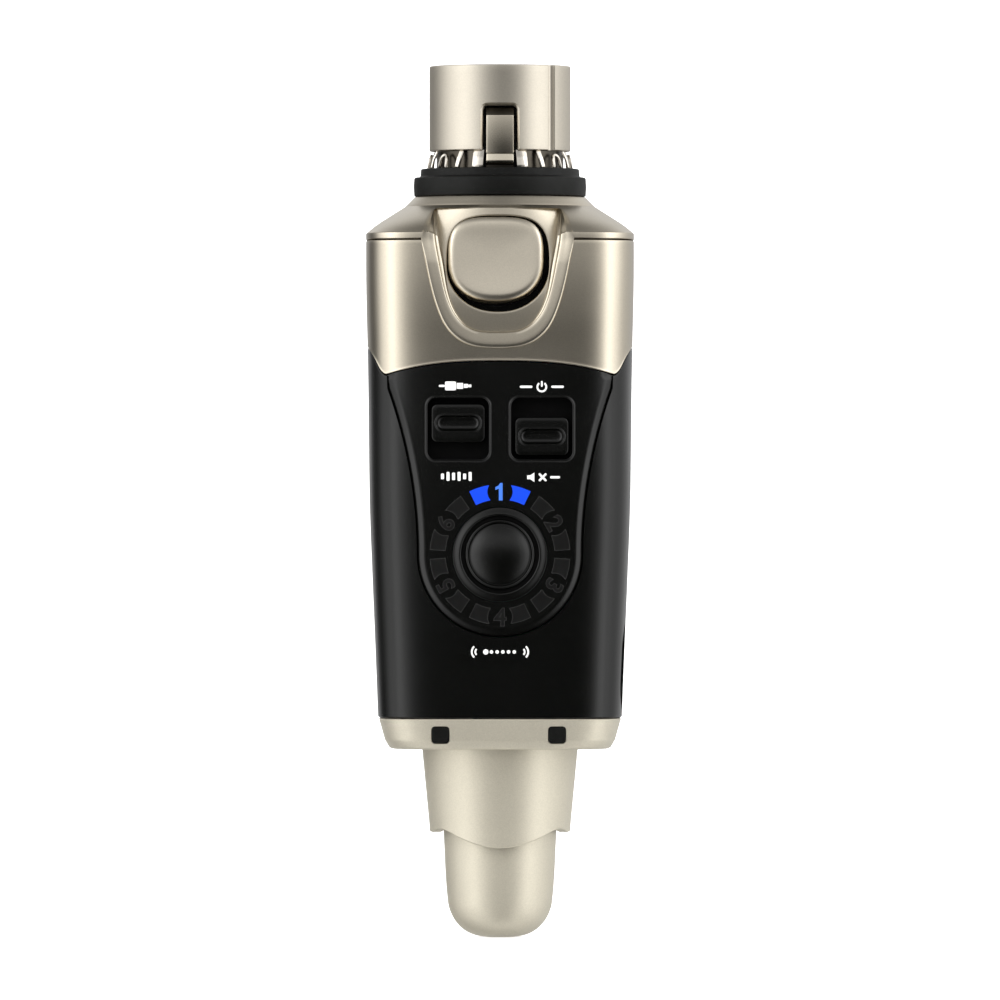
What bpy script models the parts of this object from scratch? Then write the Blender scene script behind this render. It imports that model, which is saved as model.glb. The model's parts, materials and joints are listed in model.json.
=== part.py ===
"""Plug-on wireless audio transmitter with a 3-pole XLR female nose.

The object's own frame: +Z runs along the body towards the plug, the front with the
controls faces -Y, +X is to the right. The origin is the centre of the plug's mating
face. Dimensions below are millimetres and become metres through MM.
"""

import math

import bmesh
import bpy
from mathutils import Matrix, Vector

MM = 0.001

# ---------------------------------------------------------------- driving dimensions
# Plug
NOSE_R = 8.0
NOSE_BORE_R = 7.0
NOSE_BORE_END_Z = -8.5
NOSE_END_Z = -9.65
SPIGOT_R = 7.2
SPIGOT_BORE_R = 6.3
SPIGOT_END_Z = -17.5
SLOT_HALF = 1.95
SLOT_TOP_Z = -4.48
KEY_GROOVE_R = 0.5
KEY_ANGLE = math.radians(-43.0)
INSERT_R = 6.7
INSERT_STEP_R = 6.0
INSERT_STEP_Z = -8.2
INSERT_END_Z = -16.5
CONTACTS = ((3.6, -1.8), (-3.6, -1.8), (0.0, 4.0))  # (x, y)
CONTACT_HOLE_R = 1.8

# Neck
CROWN_SLOTS = 20
CROWN_SLOT_HALF = 0.4
GASKET_BORE_R = 8.4
GASKET_TOP_R = 8.98
GASKET_LOW_R = 9.79
GASKET_TOP_Z = -11.8
GASKET_STEP_Z = -12.85
GASKET_END_Z = -14.75
GASKET_EDGE = 0.15

# Body
BODY_POWER = 5.2  # superellipse power of the cross-section
RING = 36  # points round a body section
SHOULDER_TOP_Z = -15.05
CREASE_Z = -15.9
RIM_TOP_Z = -19.05
RIM_END_Z = -19.8
COVER_TOP_Z = -20.05
SHELL_TOP_Z = -30.0
BODY_END_Z = -73.65
STATIONS = (  # (z, half width), top to bottom
    (-19.0, 15.15),
    (-27.5, 15.13),
    (-31.0, 14.93),
    (-38.0, 14.86),
    (-49.0, 14.74),
    (-57.0, 14.46),
    (-64.0, 14.17),
    (-73.8, 13.78),
)
WALL = 1.5
SEAM_Y = 0.5
GAP = 0.3
FLAT_TOP_Z = -38.0
FLAT_END_Z = -73.6
FLAT_DEPTH = 0.4
SCREWS = ((-11.4, -44.5), (11.4, -44.5), (-10.9, -60.5), (10.9, -60.5))  # (x, z)
SCREW_HOLE_R = 0.95

# Lower edge of the silver cover
ARCH_HALF = 12.8
ARCH_Z = -33.15
ARCH_DROP = 1.6
COVER_CORNER = ((-17.0, -29.0), (-14.8, -31.9), (-14.1, -33.0), (-13.4, -34.36))  # (x, z)

# Scoop and release button
SCOOP_X = -0.25
SCOOP_HALF = 7.5
SCOOP_END_Z = -30.2
SCOOP_ROUND_H = 7.0
SCOOP_ROUND_POWER = 2.6
SCOOP_TOP_Y = -11.2
SCOOP_END_Y = -13.4
SCOOP_WALL = 1.1
SCOOP_CLEARANCE = 0.15
FLOOR = 1.4
TILT = math.atan2(SCOOP_TOP_Y - SCOOP_END_Y, CREASE_Z - SCOOP_END_Z)
BUTTON_X = -0.48
BUTTON_Z = -21.9
BUTTON_HALF = (5.42, 4.82)
OPENING_HALF = (5.78, 5.44)
OPENING_Z = -22.25

# Latch
PIVOT_Y = -9.6
PIVOT_Z = -33.8
PIN_R = 0.5
PIN_BORE_R = 0.65
EYE_R = 1.5
EYE_HOLE_R = 0.62
EYE_START_DEGREES = 66.4
LEVER_HALF = 1.56
SPRING_R = 1.2
SPRING_Z = -21.6
SPRING_FRONT_Y = -8.2
SPRING_BACK_Y = -5.7
SPRING_TURNS = 4
SPRING_STEPS = 8  # per turn

# Control panel
SHIELD_R = 9.27
SHIELD_FLARE = 3.85
SHIELD_FLARE_H = 20.05
SHIELD_SIDE_H = 20.0
PANEL_WALL = 1.2
DIAL_Z = -55.25
DIAL_HOLE_R = 5.35
LED_RING_R = 7.0
SWITCH_X = 4.69
SWITCH_Z = -41.16
WINDOW_HALF = 3.62
KNOB_UP_Z = -40.52
KNOB_TRAVEL = 1.5

# Flank socket
PORT_Z = -67.86
PORT_Y = -6.2

# Collar and stub
COLLAR_WALL = 0.9
COLLAR_END_Z = -77.2
COLLAR_SCREW_Z = -75.3
PLUG_X = 6.6
PLUG_Z = -75.7
PLUG_HALF = 1.0
PLUG_TOP = 0.85
PLUG_CLEARANCE = 0.15
SLEEVE_TOP_R = 8.85
SLEEVE_END_R = 7.9
SLEEVE_END_Z = -90.0
CAP_R = 5.9
CAP_DOME_Z = -94.5
CAP_DOME_H = 4.2

# Cuts and shading
FRONT_CLEAR = -20.0  # y in front of the whole body
BACK_CLEAR = 20.0  # y behind the whole body
PANEL_CUT_Y = -7.0  # y where cuts into the panel stop
SHARP_ANGLE = math.radians(35.0)
BEVEL_ANGLE = math.radians(40.0)
SIDES = ((-1, "left"), (1, "right"))
SWITCH_SIDES = ((-1, "input"), (1, "power"))


# ---------------------------------------------------------------- scene and materials
for old in list(bpy.data.objects):
    bpy.data.objects.remove(old, do_unlink=True)

PARTS = bpy.data.collections.new("plug_on_transmitter")
CUTTERS = bpy.data.collections.new("cutters")
bpy.context.scene.collection.children.link(PARTS)
bpy.context.scene.collection.children.link(CUTTERS)


def material(name, color, roughness, metallic=0.0, glow=0.0):
    made = bpy.data.materials.new(name)
    made.use_nodes = True
    shader = made.node_tree.nodes["Principled BSDF"]
    shader.inputs["Base Color"].default_value = (*color, 1.0)
    shader.inputs["Roughness"].default_value = roughness
    shader.inputs["Metallic"].default_value = metallic
    if glow:
        shader.inputs["Emission Color"].default_value = (*color, 1.0)
        shader.inputs["Emission Strength"].default_value = glow
    made.diffuse_color = (*color, 1.0)
    return made


NICKEL = material("satin_nickel", color=(0.62, 0.58, 0.50), roughness=0.32, metallic=1.0)
POLISHED = material("polished_nickel", color=(0.70, 0.66, 0.58), roughness=0.15, metallic=1.0)
PAINT = material("champagne_paint", color=(0.60, 0.56, 0.46), roughness=0.38, metallic=0.7)
BLACK = material("black_plastic", color=(0.012, 0.012, 0.012), roughness=0.45)
RUBBER = material("black_rubber", color=(0.02, 0.022, 0.02), roughness=0.7)
GUIDE = material("light_guide", color=(0.75, 0.78, 0.8), roughness=0.3)
GOLD = material("contact_gold", color=(0.83, 0.62, 0.25), roughness=0.25, metallic=1.0)
STEEL = material("spring_steel", color=(0.55, 0.55, 0.56), roughness=0.3, metallic=1.0)
BOARD = material("circuit_board", color=(0.02, 0.12, 0.05), roughness=0.5)
CHIP = material("chip_black", color=(0.03, 0.03, 0.033), roughness=0.55)
CELL = material("cell_wrap", color=(0.05, 0.16, 0.36), roughness=0.35)
RED = material("lead_red", color=(0.55, 0.03, 0.02), roughness=0.45)
WIRE = material("lead_black", color=(0.02, 0.02, 0.02), roughness=0.45)
GREY = material("ribbon_grey", color=(0.35, 0.35, 0.36), roughness=0.5)
BLUE = material("led_blue", color=(0.02, 0.10, 0.9), roughness=0.3, glow=2.0)


# ---------------------------------------------------------------- solids
def place(obj, mat=None):
    """Link a part, or a cutter when it has no material."""
    if mat is None:
        CUTTERS.objects.link(obj)
        obj.hide_render = True
        obj.display_type = "WIRE"
        return obj
    PARTS.objects.link(obj)
    # A mesh made from a curve may already hold a material slot.
    if obj.data.materials:
        obj.data.materials[0] = mat
    else:
        obj.data.materials.append(mat)
    return obj


def smooth(obj):
    obj.data.shade_smooth()
    obj.data.set_sharp_from_angle(angle=SHARP_ANGLE)


def finished_mesh(name, draft):
    mesh = bpy.data.meshes.new(name)
    draft.to_mesh(mesh)
    draft.free()
    return mesh


def box(name, low, high, mat=None, tilt=0.0):
    """A box between two corners, turned about X by tilt round its centre."""
    low, high = Vector(low), Vector(high)
    draft = bmesh.new()
    bmesh.ops.create_cube(draft, size=1.0)
    bmesh.ops.scale(draft, vec=(high - low) * MM, verts=draft.verts)
    obj = bpy.data.objects.new(name, finished_mesh(name, draft))
    obj.location = (low + high) * 0.5 * MM
    obj.rotation_euler.x = tilt
    return place(obj, mat)


def slab(name, centre, half, depth, mat=None, tilt=0.0):
    """A box from its (x, z) centre, its half sizes and its (front, back) y."""
    (x, z), (half_w, half_h), (y_front, y_back) = centre, half, depth
    low = (x - half_w, y_front, z - half_h)
    return box(name, low, (x + half_w, y_back, z + half_h), mat, tilt)


def rod(name, radius, start, end, mat=None, sides=16):
    """A plain cylinder from start to end."""
    start, end = Vector(start) * MM, Vector(end) * MM
    draft = bmesh.new()
    bmesh.ops.create_cone(
        draft,
        cap_ends=True,
        segments=sides,
        radius1=radius * MM,
        radius2=radius * MM,
        depth=(end - start).length,
    )
    obj = bpy.data.objects.new(name, finished_mesh(name, draft))
    obj.location = (start + end) * 0.5
    obj.rotation_mode = "QUATERNION"
    obj.rotation_quaternion = (end - start).to_track_quat("Z", "Y")
    place(obj, mat)
    if mat is not None:
        smooth(obj)
    return obj


def peg(name, radius, centre, depth, sides, mat=None):
    """A front-to-back cylinder at an (x, z) centre, between two y."""
    x, z = centre
    return rod(name, radius, (x, depth[0], z), (x, depth[1], z), mat, sides)


def turned(name, profile, mat, steps=32, closed=True, matrix=None):
    """A profile of (radius, height) swept round the local Z axis."""
    mesh = bpy.data.meshes.new(name)
    count = len(profile)
    edges = [(i, i + 1) for i in range(count - 1)]
    if closed:
        edges.append((count - 1, 0))
    mesh.from_pydata([(r * MM, 0.0, height * MM) for r, height in profile], edges, [])
    obj = bpy.data.objects.new(name, mesh)
    if matrix is not None:
        obj.matrix_world = matrix
    place(obj, mat)
    screw = obj.modifiers.new("turn", "SCREW")
    screw.axis = "Z"
    screw.angle = math.tau
    screw.steps = steps
    screw.render_steps = steps
    screw.use_merge_vertices = True
    screw.merge_threshold = 0.00001
    screw.use_smooth_shade = True
    return obj


def facing_front(x=0.0, y=0.0, z=0.0, tilt=0.0):
    """Local X to the right, local Y up the face, local Z out of the front."""
    sine, cosine = math.sin(tilt), math.cos(tilt)
    return Matrix(
        (
            (1.0, 0.0, 0.0, x * MM),
            (0.0, sine, -cosine, y * MM),
            (0.0, cosine, sine, z * MM),
            (0.0, 0.0, 0.0, 1.0),
        )
    )


def facing_right(x=0.0, y=0.0, z=0.0):
    """Local X along +Y, local Y along +Z, local Z along +X."""
    return Matrix(
        (
            (0.0, 0.0, 1.0, x * MM),
            (1.0, 0.0, 0.0, y * MM),
            (0.0, 1.0, 0.0, z * MM),
            (0.0, 0.0, 0.0, 1.0),
        )
    )


def outline(name, loops, half, matrix, mat=None):
    """A flat outline extruded half its thickness each way, made a closed mesh."""
    curve = bpy.data.curves.new(name, "CURVE")
    curve.dimensions = "2D"
    curve.fill_mode = "BOTH"
    curve.extrude = half * MM
    for loop in loops:
        spline = curve.splines.new("POLY")
        spline.points.add(len(loop) - 1)
        for point, (x, y) in zip(spline.points, loop):
            point.co = (x * MM, y * MM, 0.0, 1.0)
        spline.use_cyclic_u = True
    flat = bpy.data.objects.new(name + "_draft", curve)
    bpy.context.scene.collection.objects.link(flat)
    flat.matrix_world = matrix
    graph = bpy.context.evaluated_depsgraph_get()
    mesh = bpy.data.meshes.new_from_object(flat.evaluated_get(graph), depsgraph=graph)
    # Weld the caps to the sides.
    draft = bmesh.new()
    draft.from_mesh(mesh)
    bmesh.ops.remove_doubles(draft, verts=draft.verts, dist=0.000001)
    bmesh.ops.recalc_face_normals(draft, faces=draft.faces)
    draft.to_mesh(mesh)
    draft.free()
    obj = bpy.data.objects.new(name, mesh)
    obj.matrix_world = flat.matrix_world.copy()
    bpy.data.objects.remove(flat, do_unlink=True)
    bpy.data.curves.remove(curve)
    return place(obj, mat)


def front_prism(name, loop, y_front, y_back, mat=None):
    """An outline in the X-Z plane, running from y_front back to y_back."""
    half = (y_back - y_front) / 2.0
    return outline(name, [loop], half, facing_front(y=(y_front + y_back) / 2.0), mat)


def wire(name, points, radius, mat):
    curve = bpy.data.curves.new(name, "CURVE")
    curve.dimensions = "3D"
    curve.bevel_depth = radius * MM
    curve.bevel_resolution = 1
    curve.use_fill_caps = True
    spline = curve.splines.new("POLY")
    spline.points.add(len(points) - 1)
    for point, (x, y, z) in zip(spline.points, points):
        point.co = (x * MM, y * MM, z * MM, 1.0)
    place(bpy.data.objects.new(name, curve), mat)


def loft(name, rings, mat=None, capped=False, wall=None, looped=False):
    """A skin through rings of (half width, power, z), top to bottom.

    A looped skin runs down the outside, back up the inside and joins its first ring.
    """
    draft = bmesh.new()
    rows = [
        [draft.verts.new((x * MM, y * MM, z * MM)) for x, y in section(half, power, RING)]
        for half, power, z in rings
    ]
    for upper, lower in zip(rows, rows[1:]):
        for i in range(RING):
            j = (i + 1) % RING
            draft.faces.new((upper[i], lower[i], lower[j], upper[j]))
    if looped:
        for i in range(RING):
            j = (i + 1) % RING
            draft.faces.new((rows[-1][i], rows[0][i], rows[0][j], rows[-1][j]))
    if capped:
        draft.faces.new(rows[0])
        draft.faces.new(list(reversed(rows[-1])))
    obj = place(bpy.data.objects.new(name, finished_mesh(name, draft)), mat)
    smooth(obj)
    if wall:
        shell = obj.modifiers.new("wall", "SOLIDIFY")
        shell.thickness = wall * MM
        shell.offset = -1.0
        shell.use_even_offset = True
    return obj


def combine(obj, operation, tools):
    for tool in tools:
        step = obj.modifiers.new(operation.lower() + "_" + tool.name, "BOOLEAN")
        step.operation = operation
        step.object = tool
        step.solver = "EXACT"


def cut(obj, *tools):
    combine(obj, "DIFFERENCE", tools)


def join(obj, *tools):
    combine(obj, "UNION", tools)


def keep(obj, *tools):
    combine(obj, "INTERSECT", tools)


def soften(obj, width, segments=1):
    bevel = obj.modifiers.new("soften", "BEVEL")
    bevel.width = width * MM
    bevel.segments = segments
    bevel.limit_method = "ANGLE"
    bevel.angle_limit = BEVEL_ANGLE


# ---------------------------------------------------------------- outlines
def signed_power(value, power):
    return math.copysign(abs(value) ** power, value)


def section(half, power, count):
    """A rounded square as a superellipse; power 2 is a circle."""
    angles = [math.tau * (i + 0.5) / count for i in range(count)]
    return [
        (
            half * signed_power(math.cos(angle), 2.0 / power),
            half * signed_power(math.sin(angle), 2.0 / power),
        )
        for angle in angles
    ]


def spread(half, count):
    """Even steps from -half to half."""
    return [-half + 2.0 * half * k / count for k in range(count + 1)]


def mirrored(points):
    return [(-x, z) for x, z in reversed(points)]


def half_width(z):
    """Half the body's width at a height."""
    if z >= STATIONS[0][0]:
        return STATIONS[0][1]
    for (upper_z, upper), (lower_z, lower) in zip(STATIONS, STATIONS[1:]):
        if z >= lower_z:
            return upper + (lower - upper) * (z - upper_z) / (lower_z - upper_z)
    return STATIONS[-1][1]


def body_rings(z_top, z_end):
    heights = [z_top] + [z for z, _ in STATIONS if z_end < z < z_top] + [z_end]
    return [(half_width(z), BODY_POWER, z) for z in heights]


def rounded_box(centre, half_w, half_h, radius, steps=3):
    points = []
    for side_x, side_y, start in ((1, 1, 0), (-1, 1, 90), (-1, -1, 180), (1, -1, 270)):
        corner_x = centre[0] + side_x * (half_w - radius)
        corner_y = centre[1] + side_y * (half_h - radius)
        for k in range(steps + 1):
            angle = math.radians(start + 90.0 * k / steps)
            points.append(
                (corner_x + radius * math.cos(angle), corner_y + radius * math.sin(angle))
            )
    return points


def port_stadium(half_w, half_h):
    """An upright slot with round ends, centred on the flank socket's port."""
    return rounded_box((PORT_Y, PORT_Z), half_w, half_h, half_w - 0.001, 5)


def pad_outline(half):
    """The release button's outline, a little narrower at its lower end."""
    half_w, half_h = half
    return [
        (x * half_w * (1.0 - 0.09 * (0.2 - y)), y * half_h)
        for x, y in section(1.0, power=3.0, count=28)
    ]


def scoop_outline(grow=0.0, top=CREASE_Z):
    """The U round the release button: straight sides that close in a round end."""
    points = [(SCOOP_X + SCOOP_HALF + grow, top), (SCOOP_X - SCOOP_HALF - grow, top)]
    power = 2.0 / SCOOP_ROUND_POWER
    for k in range(13):
        angle = math.pi * k / 12
        across = (SCOOP_HALF + grow) * signed_power(math.cos(angle), power)
        drop = (SCOOP_ROUND_H + grow) * abs(math.sin(angle)) ** power
        points.append((SCOOP_X - across, SCOOP_END_Z + SCOOP_ROUND_H - drop))
    return points


def floor_point(z, height):
    """The (y, z) that stands height out from the scoop floor's point at z."""
    down = (CREASE_Z - z) / (CREASE_Z - SCOOP_END_Z)
    y = SCOOP_TOP_Y + (SCOOP_END_Y - SCOOP_TOP_Y) * down
    return y - math.cos(TILT) * height, z + math.sin(TILT) * height


def floor_frame(x, z, height=0.0):
    return facing_front(x, *floor_point(z, height), TILT)


def cover_edge(x):
    """Height of the silver cover's lower edge across the front."""
    return ARCH_Z - ARCH_DROP * (abs(x) / ARCH_HALF) ** 2.6


def below_cover(shift=0.0):
    """Everything below the silver cover's edge, lowered by shift."""
    corner = list(COVER_CORNER)
    arch = [(x, cover_edge(x)) for x in spread(ARCH_HALF, 16)]
    edge = [(x, z - shift) for x, z in corner + arch + mirrored(corner)]
    return edge + [(17.0, -90.0), (-17.0, -90.0)]


def shield_outline(grow=0.0, top_shift=GAP):
    """The control panel: flared sides that close in a circle round the dial."""
    right = []
    for k in range(9):
        z = DIAL_Z + SHIELD_SIDE_H * (1.0 - k / 8.0)
        flare = SHIELD_FLARE * ((z - DIAL_Z) / SHIELD_FLARE_H) ** 2.0
        right.append((SHIELD_R + flare + grow, z))
    radius = SHIELD_R + grow
    angles = [math.pi * k / 16 for k in range(1, 16)]
    arc = [(radius * math.cos(angle), DIAL_Z - radius * math.sin(angle)) for angle in angles]
    top = [(x, cover_edge(x) - top_shift + grow) for x in spread(ARCH_HALF, 12)]
    return right + arc + mirrored(right) + top


# ---------------------------------------------------------------- plug
def build_nose():
    profile = [
        (7.75, 0.0),
        (NOSE_R, -0.25),
        (NOSE_R, NOSE_END_Z + 0.2),
        (NOSE_R - 0.2, NOSE_END_Z),
        (SPIGOT_R, NOSE_END_Z),
        (SPIGOT_R, SPIGOT_END_Z),
        (SPIGOT_BORE_R, SPIGOT_END_Z),
        (SPIGOT_BORE_R, NOSE_BORE_END_Z),
        (NOSE_BORE_R, NOSE_BORE_END_Z),
        (NOSE_BORE_R, 0.0),
    ]
    nose = turned("connector_nose", profile, NICKEL, steps=40)
    x, y = NOSE_R * math.cos(KEY_ANGLE), NOSE_R * math.sin(KEY_ANGLE)
    groove_end = (x, y, NOSE_END_Z + 0.6)
    cut(
        nose,
        box("cut_latch_slot", (-SLOT_HALF, -9.0, -19.0), (SLOT_HALF, -5.0, SLOT_TOP_Z)),
        rod("cut_key_groove", KEY_GROOVE_R, (x, y, 1.0), groove_end, sides=10),
    )


def build_insert_and_contacts():
    insert_profile = [
        (0.0, 0.0),
        (INSERT_R, 0.0),
        (INSERT_R, INSERT_STEP_Z),
        (INSERT_STEP_R, INSERT_STEP_Z),
        (INSERT_STEP_R, INSERT_END_Z),
        (0.0, INSERT_END_Z),
    ]
    contact_profile = [
        (0.0, -13.0), (1.2, -13.0), (1.2, -1.0), (1.5, -1.0),
        (1.5, -15.0), (0.5, -15.6), (0.5, -18.6), (0.0, -18.6),
    ]
    insert = turned("contact_insert", insert_profile, BLACK, closed=False)
    for number, (x, y) in enumerate(CONTACTS, 1):
        cut(
            insert,
            rod(f"cut_contact_{number}", CONTACT_HOLE_R, (x, y, 1.0), (x, y, -18.0), sides=14),
        )
        turned(
            f"socket_contact_{number}",
            contact_profile,
            GOLD,
            steps=12,
            closed=False,
            matrix=Matrix.Translation((x * MM, y * MM, 0.0)),
        )
    cut(insert, box("cut_tongue_channel", (-2.0, -9.0, -18.0), (2.0, -4.5, -4.2)))


def build_crown():
    profile = [
        (7.8, -9.95), (8.28, -11.2), (8.1, -11.8), (8.1, -14.6),
        (7.5, -14.6), (7.5, -11.7), (7.8, -11.2), (7.5, -9.95),
    ]
    crown = turned("ground_crown", profile, POLISHED, steps=40)
    # Each blade crosses the axis and cuts two opposite slots.
    for k in range(CROWN_SLOTS // 2):
        low, high = (-10.0, -CROWN_SLOT_HALF, -11.6), (10.0, CROWN_SLOT_HALF, -9.0)
        blade = box(f"cut_crown_{k}", low, high)
        blade.rotation_euler.z = math.tau * (k + 0.5) / CROWN_SLOTS
        cut(crown, blade)
    cut(crown, box("cut_crown_front", (-2.2, -10.0, -16.0), (2.2, -5.0, -9.0)))


def build_gasket():
    profile = [
        (GASKET_TOP_R - 0.13, GASKET_TOP_Z),
        (GASKET_TOP_R, GASKET_TOP_Z - GASKET_EDGE),
        (GASKET_TOP_R, GASKET_STEP_Z),
        (GASKET_LOW_R - GASKET_EDGE, GASKET_STEP_Z),
        (GASKET_LOW_R, GASKET_STEP_Z - GASKET_EDGE),
        (GASKET_LOW_R, GASKET_END_Z + GASKET_EDGE),
        (GASKET_LOW_R - GASKET_EDGE, GASKET_END_Z),
        (GASKET_BORE_R, GASKET_END_Z),
        (GASKET_BORE_R, GASKET_TOP_Z),
    ]
    turned("gasket_ring", profile, RUBBER, steps=36)


# ---------------------------------------------------------------- shoulder and cover
# (half width, power, z)
SHOULDER_OUTSIDE = [
    (7.5, 2.0, SHOULDER_TOP_Z),
    (9.55, 2.0, SHOULDER_TOP_Z),
    (9.75, 2.0, SHOULDER_TOP_Z - 0.2),
    (10.72, 2.0, CREASE_Z),
    (12.35, 2.9, -17.0),
    (13.9, 4.0, -18.05),
    (15.05, 5.1, -18.95),
    (15.15, BODY_POWER, RIM_TOP_Z),
    (15.15, BODY_POWER, RIM_END_Z),
]
SHOULDER_INSIDE = [
    (13.95, BODY_POWER, RIM_END_Z),
    (13.9, 5.0, -19.4),
    (12.8, 4.0, -18.7),
    (11.3, 2.9, -17.8),
    (9.3, 2.0, -16.5),
    (7.5, 2.0, -16.3),
]


def build_shoulder():
    shoulder = loft("shoulder_cap", SHOULDER_OUTSIDE + SHOULDER_INSIDE, NICKEL, looped=True)
    scoop = scoop_outline(SCOOP_CLEARANCE)
    cut(
        shoulder,
        front_prism("cut_shoulder_scoop", scoop, FRONT_CLEAR, -7.8),
        box("cut_lever_notch", (-2.0, -9.0, -18.0), (2.0, -6.0, -14.0)),
    )


def build_upper_cover():
    cover = loft("upper_cover", body_rings(COVER_TOP_Z, -35.2), NICKEL, wall=WALL)
    scoop = scoop_outline(SCOOP_CLEARANCE)
    cut(
        cover,
        front_prism("cut_cover_scoop", scoop, FRONT_CLEAR, -9.0),
        front_prism("cut_cover_edge", below_cover(), FRONT_CLEAR, BACK_CLEAR),
    )


def build_button_bezel():
    """A block in the scoop, trimmed to the body's skin and hollowed to a tilted floor."""
    bezel = front_prism("button_bezel", scoop_outline(), -16.0, -9.0, NICKEL)
    rings = SHOULDER_OUTSIDE[3:-1] + body_rings(-20.0, -34.0)
    skin = [(half - 0.05, power, z) for half, power, z in rings]
    keep(bezel, loft("cut_bezel_skin", skin, capped=True))

    middle_z = (CREASE_Z + SCOOP_END_Z) / 2.0
    inside = scoop_outline(-SCOOP_WALL, top=CREASE_Z + 6.0)
    cavity = [(x, z - middle_z) for x, z in inside]
    cavity_half = 4.0
    back_half = 5.0
    back_y, back_z = floor_point(middle_z, -FLOOR - back_half)
    back_depth = (back_y - back_half, back_y + back_half)
    opening = [pad_outline(OPENING_HALF)]
    cut(
        bezel,
        outline(
            "cut_bezel_cavity", [cavity], cavity_half, floor_frame(0.0, middle_z, cavity_half)
        ),
        slab("cut_bezel_back", (0.0, back_z), (12.0, 14.0), back_depth, tilt=-TILT),
        outline("cut_bezel_opening", opening, 4.0, floor_frame(SCOOP_X, OPENING_Z)),
    )


def build_release_button():
    frame = floor_frame(BUTTON_X, BUTTON_Z, -0.35)
    button = outline("release_button", [pad_outline(BUTTON_HALF)], 1.55, frame, NICKEL)
    smooth(button)
    soften(button, 0.6, 2)
    flange = rounded_box((0.0, -0.45), 6.2, 5.8, radius=2.0, steps=2)
    frame = floor_frame(BUTTON_X, BUTTON_Z, -FLOOR - 0.5)
    join(button, outline("join_button_flange", [flange], 0.28, frame))


# ---------------------------------------------------------------- latch
# The lever's side view as (y, z): its front edge down to the eye, then back up behind.
LEVER_FRONT = [
    (-6.6, -5.0), (-7.25, -4.85), (-7.95, -5.7), (-7.95, -10.0), (-7.6, -10.8),
    (-7.6, -15.8), (-9.25, -19.3), (-9.9, -23.5), (-9.0, -24.2),
]
LEVER_BACK = [
    (-8.1, -24.4), (-8.95, -23.2), (-8.45, -19.6), (-6.85, -16.2),
    (-6.85, -10.6), (-7.2, -9.8), (-7.2, -6.0),
]


def build_latch_lever():
    """The lever and an empty, both with their origin on the pivot axis."""
    axis = bpy.data.objects.new("latch_axis", None)
    axis.location = (0.0, PIVOT_Y * MM, PIVOT_Z * MM)
    PARTS.objects.link(axis)

    sweep = 360.0 - EYE_START_DEGREES
    angles = [math.radians(EYE_START_DEGREES + sweep * k / 12) for k in range(13)]
    eye = [
        (PIVOT_Y + EYE_R * math.cos(angle), PIVOT_Z + EYE_R * math.sin(angle))
        for angle in angles
    ]
    side = [(y - PIVOT_Y, z - PIVOT_Z) for y, z in LEVER_FRONT + eye + LEVER_BACK]
    angles = [math.tau * k / 14 for k in range(14)]
    hole = [(EYE_HOLE_R * math.cos(angle), EYE_HOLE_R * math.sin(angle)) for angle in angles]
    frame = facing_right(0.0, PIVOT_Y, PIVOT_Z)
    outline("latch_lever", [side, hole], LEVER_HALF, frame, POLISHED)


def pivot_rod(name, radius, half_length, mat=None):
    ends = [(x, PIVOT_Y, PIVOT_Z) for x in (-half_length, half_length)]
    return rod(name, radius, *ends, mat, sides=14)


def build_latch_mount():
    pivot_rod("latch_pivot_pin", PIN_R, 3.3, STEEL)
    bracket = box("latch_bracket", (-3.2, -5.2, -35.8), (3.2, -4.4, -20.2), BLACK)
    for side, tag in SIDES:
        cheek_depth = (-11.3, -4.9)
        join(bracket, slab(f"join_cheek_{tag}", (side * 2.5, PIVOT_Z), (0.5, 1.9), cheek_depth))
    cut(bracket, pivot_rod("cut_pin_bore", PIN_BORE_R, 5.0))


def build_button_spring():
    count = SPRING_TURNS * SPRING_STEPS
    coil = []
    for k in range(count + 1):
        angle = math.tau * k / SPRING_STEPS
        y = SPRING_FRONT_Y + (SPRING_BACK_Y - SPRING_FRONT_Y) * k / count
        coil.append((SPRING_R * math.cos(angle), y, SPRING_Z + SPRING_R * math.sin(angle)))
    wire("button_spring", coil, 0.16, STEEL)


# ---------------------------------------------------------------- body shells
def build_front_shell():
    front = loft("front_shell", body_rings(SHELL_TOP_Z, BODY_END_Z), BLACK, wall=WALL)
    below = below_cover(GAP)
    keep(front, front_prism("keep_below_cover", below, FRONT_CLEAR, SEAM_Y - GAP / 2.0))
    shield = shield_outline(0.2, -2.0)
    cut(front, front_prism("cut_shield", shield, FRONT_CLEAR, PANEL_CUT_Y))
    for number, centre in enumerate(SCREWS, 1):
        join(front, peg(f"join_post_{number}", 1.5, centre, (-12.85, 7.4), sides=12))
    for number, centre in enumerate(SCREWS, 1):
        cut(front, peg(f"cut_pilot_{number}", SCREW_HOLE_R, centre, (2.0, 9.0), sides=10))
    # Tabs that reach down into the collar.
    for side, tag in SIDES:
        x = side * PLUG_X
        low, high = x - 1.6, x + 1.6
        join(
            front,
            box(f"join_tab_foot_{tag}", (low, -12.8, -73.4), (high, -10.1, -71.5)),
            box(f"join_tab_{tag}", (low, -11.2, -76.0), (high, -10.1, -73.0)),
        )
        cut(front, peg(f"cut_tab_{tag}", 0.6, (x, COLLAR_SCREW_Z), (-14.0, -8.0), sides=10))
    cut(front, outline("cut_port", [port_stadium(3.1, 5.0)], 4.0, facing_right(14.0)))


def flat_back_cut():
    """A box whose front face makes a flat back that follows the body's taper."""
    top, end = half_width(FLAT_TOP_Z), half_width(FLAT_END_Z)
    tilt = math.atan2(top - end, FLAT_TOP_Z - FLAT_END_Z)
    half = 5.0
    y = (top + end) / 2.0 - FLAT_DEPTH + half * math.cos(tilt)
    z = (FLAT_TOP_Z + FLAT_END_Z) / 2.0 - half * math.sin(tilt)
    return slab("cut_flat_back", (0.0, z), (20.0, 30.0), (y - half, y + half), tilt=-tilt)


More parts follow.
